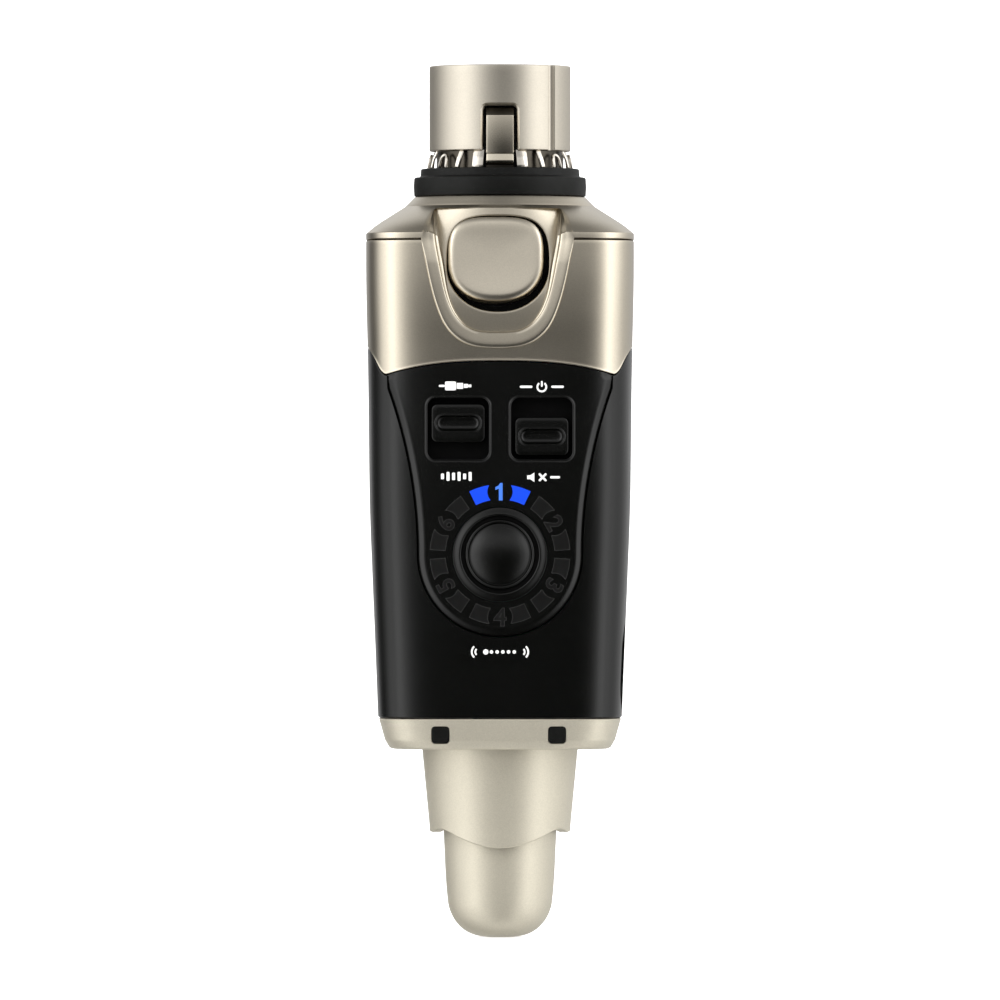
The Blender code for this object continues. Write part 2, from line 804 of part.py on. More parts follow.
def build_rear_cover():
    rear = loft("rear_cover", body_rings(SHELL_TOP_Z, BODY_END_Z), BLACK, wall=WALL)
    keep(rear, front_prism("keep_rear", below_cover(GAP), SEAM_Y + GAP / 2.0, BACK_CLEAR))
    for number, centre in enumerate(SCREWS, 1):
        join(rear, peg(f"join_boss_{number}", 2.0, centre, (7.7, 12.8), sides=12))
    screw_profile = [
        (0.0, 0.8), (1.2, 0.8), (1.5, 0.5), (1.5, 0.0), (0.65, 0.0), (0.65, -7.0), (0.0, -7.5),
    ]
    for number, (x, z) in enumerate(SCREWS, 1):
        cut(
            rear,
            peg(f"cut_rear_shank_{number}", SCREW_HOLE_R, (x, z), (7.0, 16.0), sides=10),
            peg(f"cut_rear_head_{number}", 1.75, (x, z), (11.5, 16.0), sides=14),
        )
        turned(
            f"rear_screw_{number}",
            screw_profile,
            STEEL,
            steps=12,
            closed=False,
            matrix=Matrix.Translation((x * MM, 11.8 * MM, z * MM))
            @ Matrix.Rotation(-math.pi / 2.0, 4, "X"),
        )
    cut(rear, flat_back_cut())


# ---------------------------------------------------------------- control panel
def build_front_panel():
    panel = loft("front_panel", body_rings(SHELL_TOP_Z, -66.0), BLACK, wall=PANEL_WALL)
    keep(panel, front_prism("keep_shield", shield_outline(), FRONT_CLEAR, PANEL_CUT_Y))
    for side, tag in SWITCH_SIDES:
        centre = (side * SWITCH_X, SWITCH_Z)
        window = rounded_box(centre, WINDOW_HALF, WINDOW_HALF, radius=1.05)
        cut(panel, front_prism(f"cut_window_{tag}", window, FRONT_CLEAR, PANEL_CUT_Y))
    depth = (FRONT_CLEAR, PANEL_CUT_Y)
    cut(panel, peg("cut_dial", DIAL_HOLE_R, (0.0, DIAL_Z), depth, sides=32))


def build_switch(tag, x, knob_z):
    """A slide switch: knob and skirt, its case with a track, and the actuator."""
    at_knob = (x, knob_z)
    knob = slab(f"{tag}_switch_knob", at_knob, (3.04, 2.17), (-14.7, -12.5), BLACK)
    soften(knob, 0.35, 2)
    join(knob, slab(f"join_{tag}_skirt", at_knob, (3.9, 4.6), (-12.85, -12.3)))
    middle = (x, KNOB_UP_Z - KNOB_TRAVEL / 2.0)
    case = slab(f"{tag}_switch_body", middle, (3.3, 4.5), (-11.2, -8.9), STEEL)
    cut(case, slab(f"cut_{tag}_track", middle, (0.9, 1.8), (-12.0, -10.0)))
    slab(f"{tag}_switch_actuator", at_knob, (0.6, 0.7), (-12.0, -10.4), CHIP)


def build_dial():
    """The channel button with its bezel, light guide and tact switch."""
    frame = facing_front(0.0, 0.0, DIAL_Z)
    bezel = [(5.0, 14.75), (5.2, 14.6), (5.2, 13.2), (4.37, 13.2), (4.37, 14.6), (4.5, 14.75)]
    button = [
        (0.0, 15.0), (1.6, 14.94), (2.8, 14.75), (3.45, 14.5), (3.7, 14.68),
        (3.95, 14.45), (3.95, 12.9), (4.7, 12.9), (4.7, 12.3), (0.0, 12.3),
    ]
    guide = [(8.4, 12.75), (8.4, 9.8), (5.5, 9.8), (5.5, 12.75)]
    turned("channel_bezel", bezel, BLACK, matrix=frame)
    turned("channel_button", button, BLACK, closed=False, matrix=frame)
    turned("channel_light_guide", guide, GUIDE, steps=30, matrix=frame)
    centre = (0.0, DIAL_Z)
    tact = slab("tact_switch", centre, (3.0, 3.0), (-11.0, -8.9), STEEL)
    cut(tact, peg("cut_tact", 2.0, centre, (-13.0, -9.6), sides=16))
    peg("tact_plunger", 1.7, centre, (-12.0, -10.2), sides=16, mat=CHIP)


# ---------------------------------------------------------------- electronics
def build_boards_and_chips():
    box("main_board", (-8.2, -8.6, -72.0), (8.2, -7.6, -37.0), BOARD)
    box("contact_board", (-6.0, -3.9, -19.9), (6.0, 8.5, -18.9), BOARD)
    for k in range(6):
        angle = math.radians(60.0 * k)
        centre = (LED_RING_R * math.sin(angle), DIAL_Z + LED_RING_R * math.cos(angle))
        slab(f"channel_led_{k + 1}", centre, (0.8, 0.4), (-9.5, -8.9), BLUE)
    shield = box("radio_shield", (-6.0, -7.3, -51.0), (6.0, -5.6, -41.5), STEEL)
    soften(shield, 0.3)
    box("controller_chip", (-5.5, -7.3, -59.0), (-0.5, -6.4, -54.0), CHIP)
    box("converter_chip", (-5.0, -7.3, -66.0), (-1.0, -6.5, -62.0), CHIP)
    box("antenna_board", (-4.2, -0.4, -95.0), (4.2, 0.4, -79.5), BOARD)


def build_battery():
    cell = box("battery_cell", (-8.0, -2.6, -70.0), (8.0, 6.4, -28.0), CELL)
    soften(cell, 1.6, 3)


LEAD_R = 0.45
LEADS = (  # (name, material, points)
    ("battery_lead_red", RED, (
        (4.5, 1.0, -27.4), (4.5, 0.2, -25.4), (4.9, -3.4, -25.6),
        (5.2, -4.0, -34.0), (5.4, -6.8, -39.0),
    )),
    ("battery_lead_black", WIRE, (
        (6.2, 1.0, -27.4), (6.2, 0.2, -25.4), (6.4, -3.4, -25.6),
        (6.7, -4.0, -34.0), (7.0, -6.8, -39.0),
    )),
    ("antenna_coax", WIRE, (
        (-3.0, -6.9, -69.5), (-3.0, -5.6, -73.0), (-1.2, -2.6, -76.5), (0.0, -1.25, -80.8),
    )),
)
RIBBON_SIDE = [  # (y, z)
    (-3.8, -20.3), (-3.35, -20.3), (-3.35, -37.0), (-6.6, -40.4), (-6.9, -40.1), (-3.8, -36.8),
]


def build_wiring():
    for name, mat, points in LEADS:
        wire(name, points, LEAD_R, mat)
    outline("signal_ribbon", [RIBBON_SIDE], 2.4, facing_right(-0.5), GREY)


def build_usb_port():
    low, high = (5.6, -7.3, PORT_Z - 3.8), (12.3, -4.5, PORT_Z + 3.8)
    usb = box("usb_socket", low, high, STEEL)
    cut(usb, box("cut_usb", (8.5, -6.8, PORT_Z - 3.3), (13.0, -5.0, PORT_Z + 3.3)))
    hole = rounded_box((-5.95, PORT_Z), 1.55, 3.9, radius=0.6, steps=2)
    frame = facing_right(13.0)
    outline("usb_port_frame", [port_stadium(2.8, 4.7), hole], 0.4, frame, RUBBER)


# ---------------------------------------------------------------- collar and stub
def build_collar():
    rings = [  # (half width, power, z)
        (13.66, BODY_POWER, -73.95),
        (13.02, BODY_POWER, -76.1),
        (12.7, BODY_POWER, -76.8),
        (12.2, BODY_POWER, COLLAR_END_Z + 0.05),
        (11.6, 4.6, COLLAR_END_Z),
        (9.15, 2.0, COLLAR_END_Z),
    ]
    screw_profile = [
        (0.0, 12.15), (0.7, 12.15), (0.7, 11.6), (0.42, 11.6), (0.42, 9.4), (0.0, 9.2),
    ]
    collar = loft("bottom_collar", rings, PAINT, wall=COLLAR_WALL)
    for number, (side, tag) in enumerate(SIDES, 1):
        x = side * PLUG_X
        half, top = PLUG_HALF + PLUG_CLEARANCE, PLUG_TOP + PLUG_CLEARANCE
        low, high = (x - half, -15.0, PLUG_Z - half), (x + half, -11.0, PLUG_Z + top)
        cut(collar, box(f"cut_plug_{tag}", low, high))
        low = (x - PLUG_HALF, -13.1, PLUG_Z - PLUG_HALF)
        high = (x + PLUG_HALF, -12.45, PLUG_Z + PLUG_TOP)
        soften(box(f"collar_plug_{number}", low, high, RUBBER), 0.2)
        turned(
            f"collar_screw_{number}",
            screw_profile,
            STEEL,
            steps=10,
            closed=False,
            matrix=facing_front(x, 0.0, COLLAR_SCREW_Z),
        )


# The left end of the sleeve's lower edge, as (x, z).
HEM_SIDE = [(-12.0, -86.9), (-7.9, -86.72), (-7.3, -86.52), (-6.7, -86.48), (-6.1, -86.62)]
HEM_HALF = 5.4


def build_antenna_sleeve():
    profile = [
        (9.9, -74.6),
        (9.9, -75.6),
        (SLEEVE_TOP_R, -75.6),
        (SLEEVE_TOP_R, -77.0),
        (7.99, -86.0),
        (SLEEVE_END_R, SLEEVE_END_Z),
        (6.75, SLEEVE_END_Z),
        (7.1, -82.0),
        (7.5, -74.6),
    ]
    sleeve = turned("antenna_sleeve", profile, PAINT, steps=40)
    tongue = [(x, -88.43 + 1.56 * (abs(x) / HEM_HALF) ** 1.9) for x in spread(HEM_HALF, 14)]
    hem = HEM_SIDE + tongue + mirrored(HEM_SIDE) + [(12.0, -95.0), (-12.0, -95.0)]
    cut(sleeve, front_prism("cut_hem", hem, FRONT_CLEAR, BACK_CLEAR))


def build_antenna_cap():
    inside = [(0.0, -97.4), (3.3, -96.9), (4.6, -94.5), (5.3, -86.0), (5.4, -80.0)]
    outside = [(6.5, -80.0), (6.45, -86.0), (6.18, -91.0), (CAP_R, CAP_DOME_Z)]
    for k in range(1, 6):
        angle = math.radians(90.0 * k / 6)
        radius = CAP_R * math.cos(angle) ** 0.62
        outside.append((radius, CAP_DOME_Z - CAP_DOME_H * math.sin(angle) ** 1.25))
    outside.append((0.0, CAP_DOME_Z - CAP_DOME_H))
    turned("antenna_cap", inside + outside, PAINT, closed=False)


# ---------------------------------------------------------------- build
build_nose()
build_insert_and_contacts()
build_crown()
build_gasket()
build_shoulder()
build_upper_cover()
build_button_bezel()
build_release_button()
build_latch_lever()
build_latch_mount()
build_button_spring()
build_front_shell()
build_rear_cover()
build_front_panel()
build_switch("input", -SWITCH_X, KNOB_UP_Z)
build_switch("power", SWITCH_X, KNOB_UP_Z - KNOB_TRAVEL)
build_dial()
build_boards_and_chips()
build_battery()
build_wiring()
build_usb_port()
build_collar()
build_antenna_sleeve()
build_antenna_cap()
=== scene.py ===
"""Looks for a plug-on wireless audio transmitter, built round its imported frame.

+Z runs along the body to the plug, the controls face -Y and +X is to the right
of someone facing them. Lengths are millimetres, made metres by MM; the studio at
the end is in metres.
"""

import json
import math
from functools import cache

import bmesh
import bpy
import numpy as np
from mathutils import Matrix, Vector


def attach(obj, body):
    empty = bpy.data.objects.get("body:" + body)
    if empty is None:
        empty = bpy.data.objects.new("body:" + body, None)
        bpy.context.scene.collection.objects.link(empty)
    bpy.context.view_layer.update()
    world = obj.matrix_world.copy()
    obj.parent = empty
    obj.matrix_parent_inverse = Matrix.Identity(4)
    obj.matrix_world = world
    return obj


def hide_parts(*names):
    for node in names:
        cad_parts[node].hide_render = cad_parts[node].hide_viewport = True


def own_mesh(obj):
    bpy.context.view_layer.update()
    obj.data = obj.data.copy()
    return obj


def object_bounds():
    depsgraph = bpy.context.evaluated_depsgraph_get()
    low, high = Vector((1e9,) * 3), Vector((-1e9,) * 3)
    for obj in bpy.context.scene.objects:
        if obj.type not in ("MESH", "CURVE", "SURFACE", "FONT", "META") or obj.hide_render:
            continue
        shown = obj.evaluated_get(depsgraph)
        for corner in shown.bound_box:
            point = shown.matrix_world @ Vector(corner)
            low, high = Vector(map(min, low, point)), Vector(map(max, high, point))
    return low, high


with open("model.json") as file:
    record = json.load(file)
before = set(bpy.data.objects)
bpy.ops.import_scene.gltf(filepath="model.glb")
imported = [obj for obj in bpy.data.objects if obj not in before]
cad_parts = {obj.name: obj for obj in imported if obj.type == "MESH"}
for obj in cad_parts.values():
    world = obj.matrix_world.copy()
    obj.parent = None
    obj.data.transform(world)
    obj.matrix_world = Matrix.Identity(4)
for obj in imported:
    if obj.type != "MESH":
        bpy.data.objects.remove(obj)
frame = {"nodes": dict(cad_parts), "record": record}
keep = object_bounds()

MM = 0.001
PIECES = bpy.data.collections.new("looks")
CUTTERS = bpy.data.collections.new("cutters")
bpy.context.scene.collection.children.link(PIECES)
bpy.context.scene.collection.children.link(CUTTERS)


# ---------------------------------------------------------------- materials
LOOKS = {}
FLAKE_SIZE = 0.10
IOR = 1.45
BUMP_STRENGTH = 0.35


def finish(
    name,
    base,
    rough,
    metal=0.0,
    tone=0.06,
    tone_size=3.0,
    grain=0.12,
    grain_depth=0.006,
    rough_spread=0.05,
    flake=0.0,
    glow=None,
    glow_power=0.0,
    spec=0.5,
):
    """A node material: cloudy tone, fine grain, roughness that varies, and bump."""
    mat = bpy.data.materials.new(name)
    mat.use_nodes = True
    nodes, links = mat.node_tree.nodes, mat.node_tree.links
    shader = nodes["Principled BSDF"]
    where = nodes.new("ShaderNodeTexCoord")

    def noise(size, detail, seed):
        made = nodes.new("ShaderNodeTexNoise")
        made.noise_dimensions = "4D"
        made.inputs["W"].default_value = seed
        made.inputs["Scale"].default_value = 1000.0 / size
        made.inputs["Detail"].default_value = detail
        made.inputs["Roughness"].default_value = 0.55
        links.new(where.outputs["Object"], made.inputs["Vector"])
        return made

    def remap(from_range, to_range):
        made = nodes.new("ShaderNodeMapRange")
        names = ("From Min", "From Max", "To Min", "To Max")
        for socket, value in zip(names, (*from_range, *to_range)):
            made.inputs[socket].default_value = value
        return made

    cloud = noise(tone_size, detail=3.0, seed=1.3)
    fine = noise(grain, detail=2.0, seed=4.1)
    mix = nodes.new("ShaderNodeMix")
    mix.data_type = "RGBA"
    mix.inputs[6].default_value = (*[max(0.0, c * (1.0 - tone)) for c in base], 1.0)
    mix.inputs[7].default_value = (*[min(1.0, c * (1.0 + tone)) for c in base], 1.0)
    links.new(cloud.outputs["Fac"], mix.inputs[0])
    colour = mix.outputs[2]
    if flake:
        # Small cells, each a little lighter or darker.
        cells = nodes.new("ShaderNodeTexVoronoi")
        cells.inputs["Scale"].default_value = 1000.0 / FLAKE_SIZE
        links.new(where.outputs["Object"], cells.inputs["Vector"])
        grey = nodes.new("ShaderNodeRGBToBW")
        links.new(cells.outputs["Color"], grey.inputs[0])
        level = remap((0.15, 0.85), (1.0 - flake, 1.0 + flake))
        links.new(grey.outputs[0], level.inputs["Value"])
        tint = nodes.new("ShaderNodeVectorMath")
        tint.operation = "SCALE"
        links.new(colour, tint.inputs[0])
        links.new(level.outputs[0], tint.inputs["Scale"])
        colour = tint.outputs[0]
    links.new(colour, shader.inputs["Base Color"])
    spread = remap((0.3, 0.7), (max(0.02, rough - rough_spread), min(1.0, rough + rough_spread)))
    patches = noise(tone_size * 0.6, detail=4.0, seed=7.7)
    links.new(patches.outputs["Fac"], spread.inputs["Value"])
    links.new(spread.outputs[0], shader.inputs["Roughness"])
    bump = nodes.new("ShaderNodeBump")
    bump.inputs["Strength"].default_value = BUMP_STRENGTH
    bump.inputs["Distance"].default_value = grain_depth * MM
    links.new(fine.outputs["Fac"], bump.inputs["Height"])
    links.new(bump.outputs["Normal"], shader.inputs["Normal"])
    shader.inputs["Metallic"].default_value = metal
    shader.inputs["Specular IOR Level"].default_value = spec
    shader.inputs["IOR"].default_value = IOR
    if glow:
        shader.inputs["Emission Color"].default_value = (*glow, 1.0)
        shader.inputs["Emission Strength"].default_value = glow_power
    mat.diffuse_color = (*base, 1.0)
    LOOKS[name] = mat
    return mat


# Settings shared by the brushed nickels.
BRUSHED = dict(metal=1.0, grain=0.07, grain_depth=0.004, rough_spread=0.015, flake=0.04)
SATIN = finish(
    "satin_nickel", base=(0.605, 0.55, 0.448), rough=0.31, tone=0.015, tone_size=9.0, **BRUSHED
)
CAP = finish(
    "cap_nickel", base=(0.735, 0.672, 0.555), rough=0.33, tone=0.02, tone_size=7.0, **BRUSHED
)
TURNED = finish(
    "turned_nickel", base=(0.62, 0.575, 0.49), rough=0.46, tone=0.015, tone_size=9.0, **BRUSHED
)
POLISHED = finish(
    "polished_nickel", base=(0.70, 0.655, 0.585), rough=0.15, metal=1.0, tone=0.03,
    tone_size=6.0, grain=0.3, grain_depth=0.002, rough_spread=0.02,
)
PAINT = finish(
    "champagne_paint", base=(0.525, 0.489, 0.398), rough=0.42, metal=0.55, tone=0.015,
    tone_size=9.0, rough_spread=0.015, flake=0.05, grain=0.09, grain_depth=0.007,
)
BLACK = finish(
    "black_plastic", base=(0.0011, 0.0013, 0.0009), rough=0.25, spec=0.46, grain=0.15,
    grain_depth=0.010, tone=0.15, rough_spread=0.02, tone_size=8.0,
)
# Near-black and barely glossy. On the button's flange it is painted shade in the gap round the cap;
# the knob skirts are black plastic.
DEEP = finish(
    "deep_black", base=(0.0012, 0.0012, 0.0012), rough=0.6, grain=0.1, grain_depth=0.004,
    tone=0.2, spec=0.12,
)
# Dark nickel that paints shade: on the crown's base ring behind the strips, on the plug's spigot and
# inside, and on the lever's shaded faces.
PAINTED_SHADE = finish(
    "painted_shade_nickel", base=(0.09, 0.08, 0.065), rough=0.3, metal=1.0, grain=0.1,
    grain_depth=0.003, tone=0.1, rough_spread=0.03,
)
TONGUE = finish(
    "tongue_nickel", base=(0.72, 0.655, 0.535), rough=0.24, metal=1.0, tone=0.02,
    tone_size=6.0, grain=0.1, grain_depth=0.002, rough_spread=0.02,
)
finish("gloss_black", base=(0.006, 0.006, 0.006), rough=0.30, grain_depth=0.003, tone=0.2)
RUBBER = finish(
    "black_rubber", base=(0.004, 0.0043, 0.0036), rough=0.52, spec=0.22, grain_depth=0.014,
    tone=0.2,
)
finish("light_guide", base=(0.55, 0.6, 0.66), rough=0.35, grain=0.3, grain_depth=0.003)
GOLD = finish(
    "contact_gold", base=(0.83, 0.62, 0.25), rough=0.22, metal=1.0, grain_depth=0.003
)
STEEL = finish(
    "spring_steel", base=(0.55, 0.55, 0.56), rough=0.27, metal=1.0, grain_depth=0.003
)
finish(
    "circuit_board", base=(0.015, 0.11, 0.045), rough=0.42, grain=0.35, grain_depth=0.01,
    tone=0.25, tone_size=1.2,
)
finish("chip_black", base=(0.02, 0.02, 0.022), rough=0.5, grain=0.08, tone=0.2)
finish(
    "cell_wrap", base=(0.04, 0.13, 0.32), rough=0.32, grain=0.8, grain_depth=0.02, tone=0.12
)
finish("lead_red", base=(0.5, 0.03, 0.02), rough=0.42, grain=0.2, grain_depth=0.004)
finish(
    "lead_black", base=(0.015, 0.015, 0.015), rough=0.42, grain=0.2, grain_depth=0.004, tone=0.2
)
finish("ribbon_grey", base=(0.33, 0.33, 0.34), rough=0.48, grain=0.4, grain_depth=0.008)
finish(
    "led_blue", base=(0.05, 0.2, 0.9), rough=0.3, grain=0.2, grain_depth=0.002,
    glow=(0.02, 0.12, 1.0), glow_power=0.6,
)
LIT = finish(
    "window_lit", base=(0.002, 0.008, 0.08), rough=0.4, grain=0.25, grain_depth=0.002,
    glow=(0.009, 0.084, 1.0), glow_power=0.93, tone=0.15, spec=0.1,
)
LIT_NUMBER = finish(
    "number_lit", base=(0.01, 0.03, 0.1), rough=0.4, grain=0.25, grain_depth=0.002,
    glow=(0.08, 0.25, 0.95), glow_power=0.93, spec=0.1,
)
WINDOW = finish(
    "window_dark", base=(0.0042, 0.0042, 0.0040), rough=0.33, grain_depth=0.003, tone=0.15,
    spec=0.4,
)
TRACE = finish(
    "window_edge", base=(0.020, 0.020, 0.019), rough=0.45, grain_depth=0.003, tone=0.15
)
PRINT = finish(
    "white_print", base=(0.82, 0.82, 0.80), rough=0.5, grain=0.08, grain_depth=0.003, tone=0.04
)

for part in frame["record"]["subparts"]:
    node = frame["nodes"][part["node"]]
    node.data.materials.clear()
    node.data.materials.append(LOOKS[part["material_slot"]])


# ---------------------------------------------------------------- mesh helpers
def smoothstep(t):
    t = min(1.0, max(0.0, t))
    return t * t * (3.0 - 2.0 * t)


def shade(obj, angle=32.0):
    obj.data.shade_smooth()
    obj.data.set_sharp_from_angle(angle=math.radians(angle))


def make(name, verts, faces, mats, marks=None, angle=32.0, cutter=False, units=MM):
    """A mesh object with normals turned outward. Without materials it is a cutter."""
    mesh = bpy.data.meshes.new(name)
    mesh.from_pydata([(x * units, y * units, z * units) for x, y, z in verts], [], faces)
    for mat in mats:
        mesh.materials.append(mat)
    if marks is not None:
        mesh.polygons.foreach_set("material_index", marks)
    editor = bmesh.new()
    editor.from_mesh(mesh)
    bmesh.ops.remove_doubles(editor, verts=editor.verts, dist=2e-7)
    bmesh.ops.dissolve_degenerate(editor, edges=editor.edges, dist=1e-8)
    bmesh.ops.recalc_face_normals(editor, faces=editor.faces)
    editor.to_mesh(mesh)
    editor.free()
    obj = bpy.data.objects.new(name, mesh)
    if cutter or not mats:
        CUTTERS.objects.link(obj)
        obj.hide_render = True
    else:
        PIECES.objects.link(obj)
        shade(obj, angle)
    return obj


def strips(rings, looped=False, first=0):
    """Faces between rings of equal length, the first vertex being number first."""
    count = len(rings[0])
    pairs = [(i, i + 1) for i in range(len(rings) - 1)]
    if looped:
        pairs.append((len(rings) - 1, 0))
    faces = []
    for one, two in pairs:
        one, two = first + one * count, first + two * count
        for i in range(count):
            j = (i + 1) % count
            faces.append((one + i, two + i, two + j, one + j))
    return faces


def fan(start, centre, count):
    """Triangles from a ring of vertices to a centre vertex."""
    return [(start + i, centre, start + (i + 1) % count) for i in range(count)]


def skin(name, rings, mat=None, looped=False, angle=32.0):
    """A solid over rings: joined last to first if looped, else capped at both ends."""
    verts = [point for ring in rings for point in ring]
    faces = strips(rings, looped)
    if not looped:
        count = len(rings[0])
        faces.append(tuple(range(count)))
        faces.append(tuple(reversed(range(len(verts) - count, len(verts)))))
    return make(name, verts, faces, [mat] if mat else [], angle=angle)


def revolve(profile, steps):
    """Vertices and faces of a (radius, height) profile turned round Z.

    Radius 0 makes a pole. A profile that starts off the axis is closed on itself.
    """
    verts, faces, rows = [], [], []
    for radius, height in profile:
        start = len(verts)
        if radius < 1e-6:
            rows.append([start])
            verts.append((0.0, 0.0, height))
        else:
            rows.append(list(range(start, start + steps)))
            for k in range(steps):
                angle = math.tau * k / steps
                verts.append((radius * math.cos(angle), radius * math.sin(angle), height))
    order = list(zip(rows, rows[1:]))
    if profile[0][0] > 0.0:
        order.append((rows[-1], rows[0]))
    for upper, lower in order:
        for k in range(steps):
            j = (k + 1) % steps
            quad = []
            for row, i in ((upper, k), (lower, k), (lower, j), (upper, j)):
                vert = row[i % len(row)]
                if vert not in quad:
                    quad.append(vert)
            if len(quad) > 2:
                faces.append(tuple(quad))
    return verts, faces


def lathe(name, profile, mat=None, steps=160, matrix=None, cutter=False, angle=32.0):
    verts, faces = revolve(profile, steps)
    if matrix is not None:
        verts = [tuple(matrix @ Vector(point)) for point in verts]
    return make(name, verts, faces, [mat] if mat else [], cutter=cutter, angle=angle)


def rounded(points, radius, steps=5, closed=True):
    """The outline with each corner turned into an arc of its radius."""
    count = len(points)
    out = []
    for i, point in enumerate(points):
        if not closed and i in (0, count - 1):
            out.append(tuple(point))
            continue
        corner = Vector(point)
        before = Vector(points[i - 1]) - corner
        after = Vector(points[(i + 1) % count]) - corner
        before_length, after_length = before.length, after.length
        if before_length < 1e-9 or after_length < 1e-9:
            continue
        before, after = before / before_length, after / after_length
        angle = math.acos(max(-1.0, min(1.0, before.dot(after))))
        if angle > math.radians(172.0):
            out.append(tuple(point))
            continue
        size = radius[i] if isinstance(radius, (list, tuple)) else radius
        reach = min(size / math.tan(angle / 2.0), 0.46 * before_length, 0.46 * after_length)
        start, end = corner + before * reach, corner + after * reach
        weight = math.sin(angle / 2.0)
        for k in range(steps + 1):
            t = k / steps
            w0, w1, w2 = (1 - t) ** 2, 2 * t * (1 - t) * weight, t * t
            out.append(tuple((start * w0 + corner * w1 + end * w2) / (w0 + w1 + w2)))
    return out


def spline(points, per=8):
    """A Catmull-Rom curve through tuples of any size."""
    pts = [np.array(point, float) for point in points]
    out = []
    for i in range(len(pts) - 1):
        p1, p2 = pts[i], pts[i + 1]
        p0 = pts[i - 1] if i else 2 * p1 - p2
        p3 = pts[i + 2] if i + 2 < len(pts) else 2 * p2 - p1
        for k in range(per):
            t = k / per
            linear = (p2 - p0) * t
            square = (2 * p0 - 5 * p1 + 4 * p2 - p3) * t * t
            cubic = (3 * p1 - p0 - 3 * p2 + p3) * t**3
            out.append(tuple(0.5 * (2 * p1 + linear + square + cubic)))
    out.append(tuple(pts[-1]))
    return out


def offset(loop, inset):
    """A closed 2D outline moved inward by inset (outline runs anticlockwise)."""
    count = len(loop)
    out = []
    for i, (x, y) in enumerate(loop):
        x0, y0 = loop[i - 1]
        x1, y1 = loop[(i + 1) % count]
        before = Vector((x - x0, y - y0))
        after = Vector((x1 - x, y1 - y))
        if before.length < 1e-9:
            before = after
        if after.length < 1e-9:
            after = before
        before, after = before.normalized(), after.normalized()
        side = Vector((-before.y, before.x))
        normal = side + Vector((-after.y, after.x))
        if normal.length < 1e-6:
            normal = side.copy()
        normal.normalize()
        reach = inset / max(0.35, normal.dot(side))
        out.append((x + normal.x * reach, y + normal.y * reach))
    return out


def resample(loop, count, closed=True):
    pts = np.array(loop + ([loop[0]] if closed else []), float)
    step = np.linalg.norm(np.diff(pts, axis=0), axis=1)
    dist = np.concatenate([[0.0], np.cumsum(step)])
    places = np.linspace(0.0, dist[-1], count + (1 if closed else 0))
    if closed:
        places = places[:-1]
    return [
        tuple(float(np.interp(place, dist, pts[:, k])) for k in range(pts.shape[1]))
        for place in places
    ]


def rounded_rect(centre_x, centre_y, half_w, half_h, radius, steps=8):
    points = []
    for side_x, side_y, start in ((1, 1, 0), (-1, 1, 90), (-1, -1, 180), (1, -1, 270)):
        for k in range(steps + 1):
            angle = math.radians(start + 90.0 * k / steps)
            x = centre_x + side_x * (half_w - radius) + radius * math.cos(angle)
            y = centre_y + side_y * (half_h - radius) + radius * math.sin(angle)
            points.append((x, y))
    return points


def front(x=0.0, y=0.0, z=0.0, tilt=0.0):
    """Local X to the right, local Y up the face, local Z out of the front."""
    sin, cos = math.sin(tilt), math.cos(tilt)
    return Matrix(((1, 0, 0, x), (0, sin, -cos, y), (0, cos, sin, z), (0, 0, 0, 1)))


def right(x=0.0, y=0.0, z=0.0):
    """Local X along +Y, local Y along +Z, local Z along +X."""
    return Matrix(((0, 0, 1, x), (1, 0, 0, y), (0, 1, 0, z), (0, 0, 0, 1)))


def rear_facing(x, y, z):
    """Local Z out of the back."""
    return Matrix.Translation((x, y, z)) @ Matrix.Rotation(-math.pi / 2.0, 4, "X")


def layer(matrix, loop, height):
    """A 2D outline set at a local height and placed by a matrix."""
    return [tuple(matrix @ Vector((x, y, height))) for x, y in loop]


def pillow(name, loop, levels, mat, matrix, dish=0.0, rows=10):
    """A solid over an outline: rings at (inset, height), then a top that may be dished."""
    rings = [[(x, y, height) for x, y in offset(loop, inset)] for inset, height in levels]
    mid_x = sum(point[0] for point in loop) / len(loop)
    mid_y = sum(point[1] for point in loop) / len(loop)
    top = rings[-1]
    height = levels[-1][1]
    for k in range(1, rows):
        size = 1.0 - k / rows
        z = height - dish * (1.0 - size * size)
        rings.append([(mid_x + (x - mid_x) * size, mid_y + (y - mid_y) * size, z) for x, y, _ in top])
    count = len(loop)
    verts = [point for ring in rings for point in ring]
    centre = len(verts)
    verts.append((mid_x, mid_y, height - dish))
    faces = strips(rings) + [tuple(range(count))] + fan(centre - count, centre, count)
    verts = [tuple(matrix @ Vector(point)) for point in verts]
    return make(name, verts, faces, [mat] if mat else [])


def prism(name, loop, low, high, matrix):
    """A straight cutter over an outline."""
    return skin(name, [layer(matrix, loop, height) for height in (low, high)])


def cut(obj, *tools, operation="DIFFERENCE", angle=32.0):
    """Booleans applied at once, so that the mesh is final."""
    for tool in tools:
        step = obj.modifiers.new("cut", "BOOLEAN")
        step.operation = operation
        step.object = tool
        step.solver = "EXACT"
    graph = bpy.context.evaluated_depsgraph_get()
    mesh = bpy.data.meshes.new_from_object(obj.evaluated_get(graph), depsgraph=graph)
    obj.modifiers.clear()
    old = obj.data
    obj.data = mesh
    bpy.data.meshes.remove(old)
    for tool in tools:
        bpy.data.objects.remove(tool, do_unlink=True)
    editor = bmesh.new()
    editor.from_mesh(mesh)
    bmesh.ops.dissolve_degenerate(editor, edges=editor.edges, dist=5e-7)
    editor.to_mesh(mesh)
    editor.free()
    shade(obj, angle)


def settle(obj, width, angle=40.0):
    """A small rounded edge, then weighted normals."""
    bevel = obj.modifiers.new("edge", "BEVEL")
    bevel.width = width * MM
    bevel.segments = 2
    bevel.limit_method = "ANGLE"
    bevel.angle_limit = math.radians(angle)
    bevel.harden_normals = False
    weigh = obj.modifiers.new("weigh", "WEIGHTED_NORMAL")
    weigh.keep_sharp = True


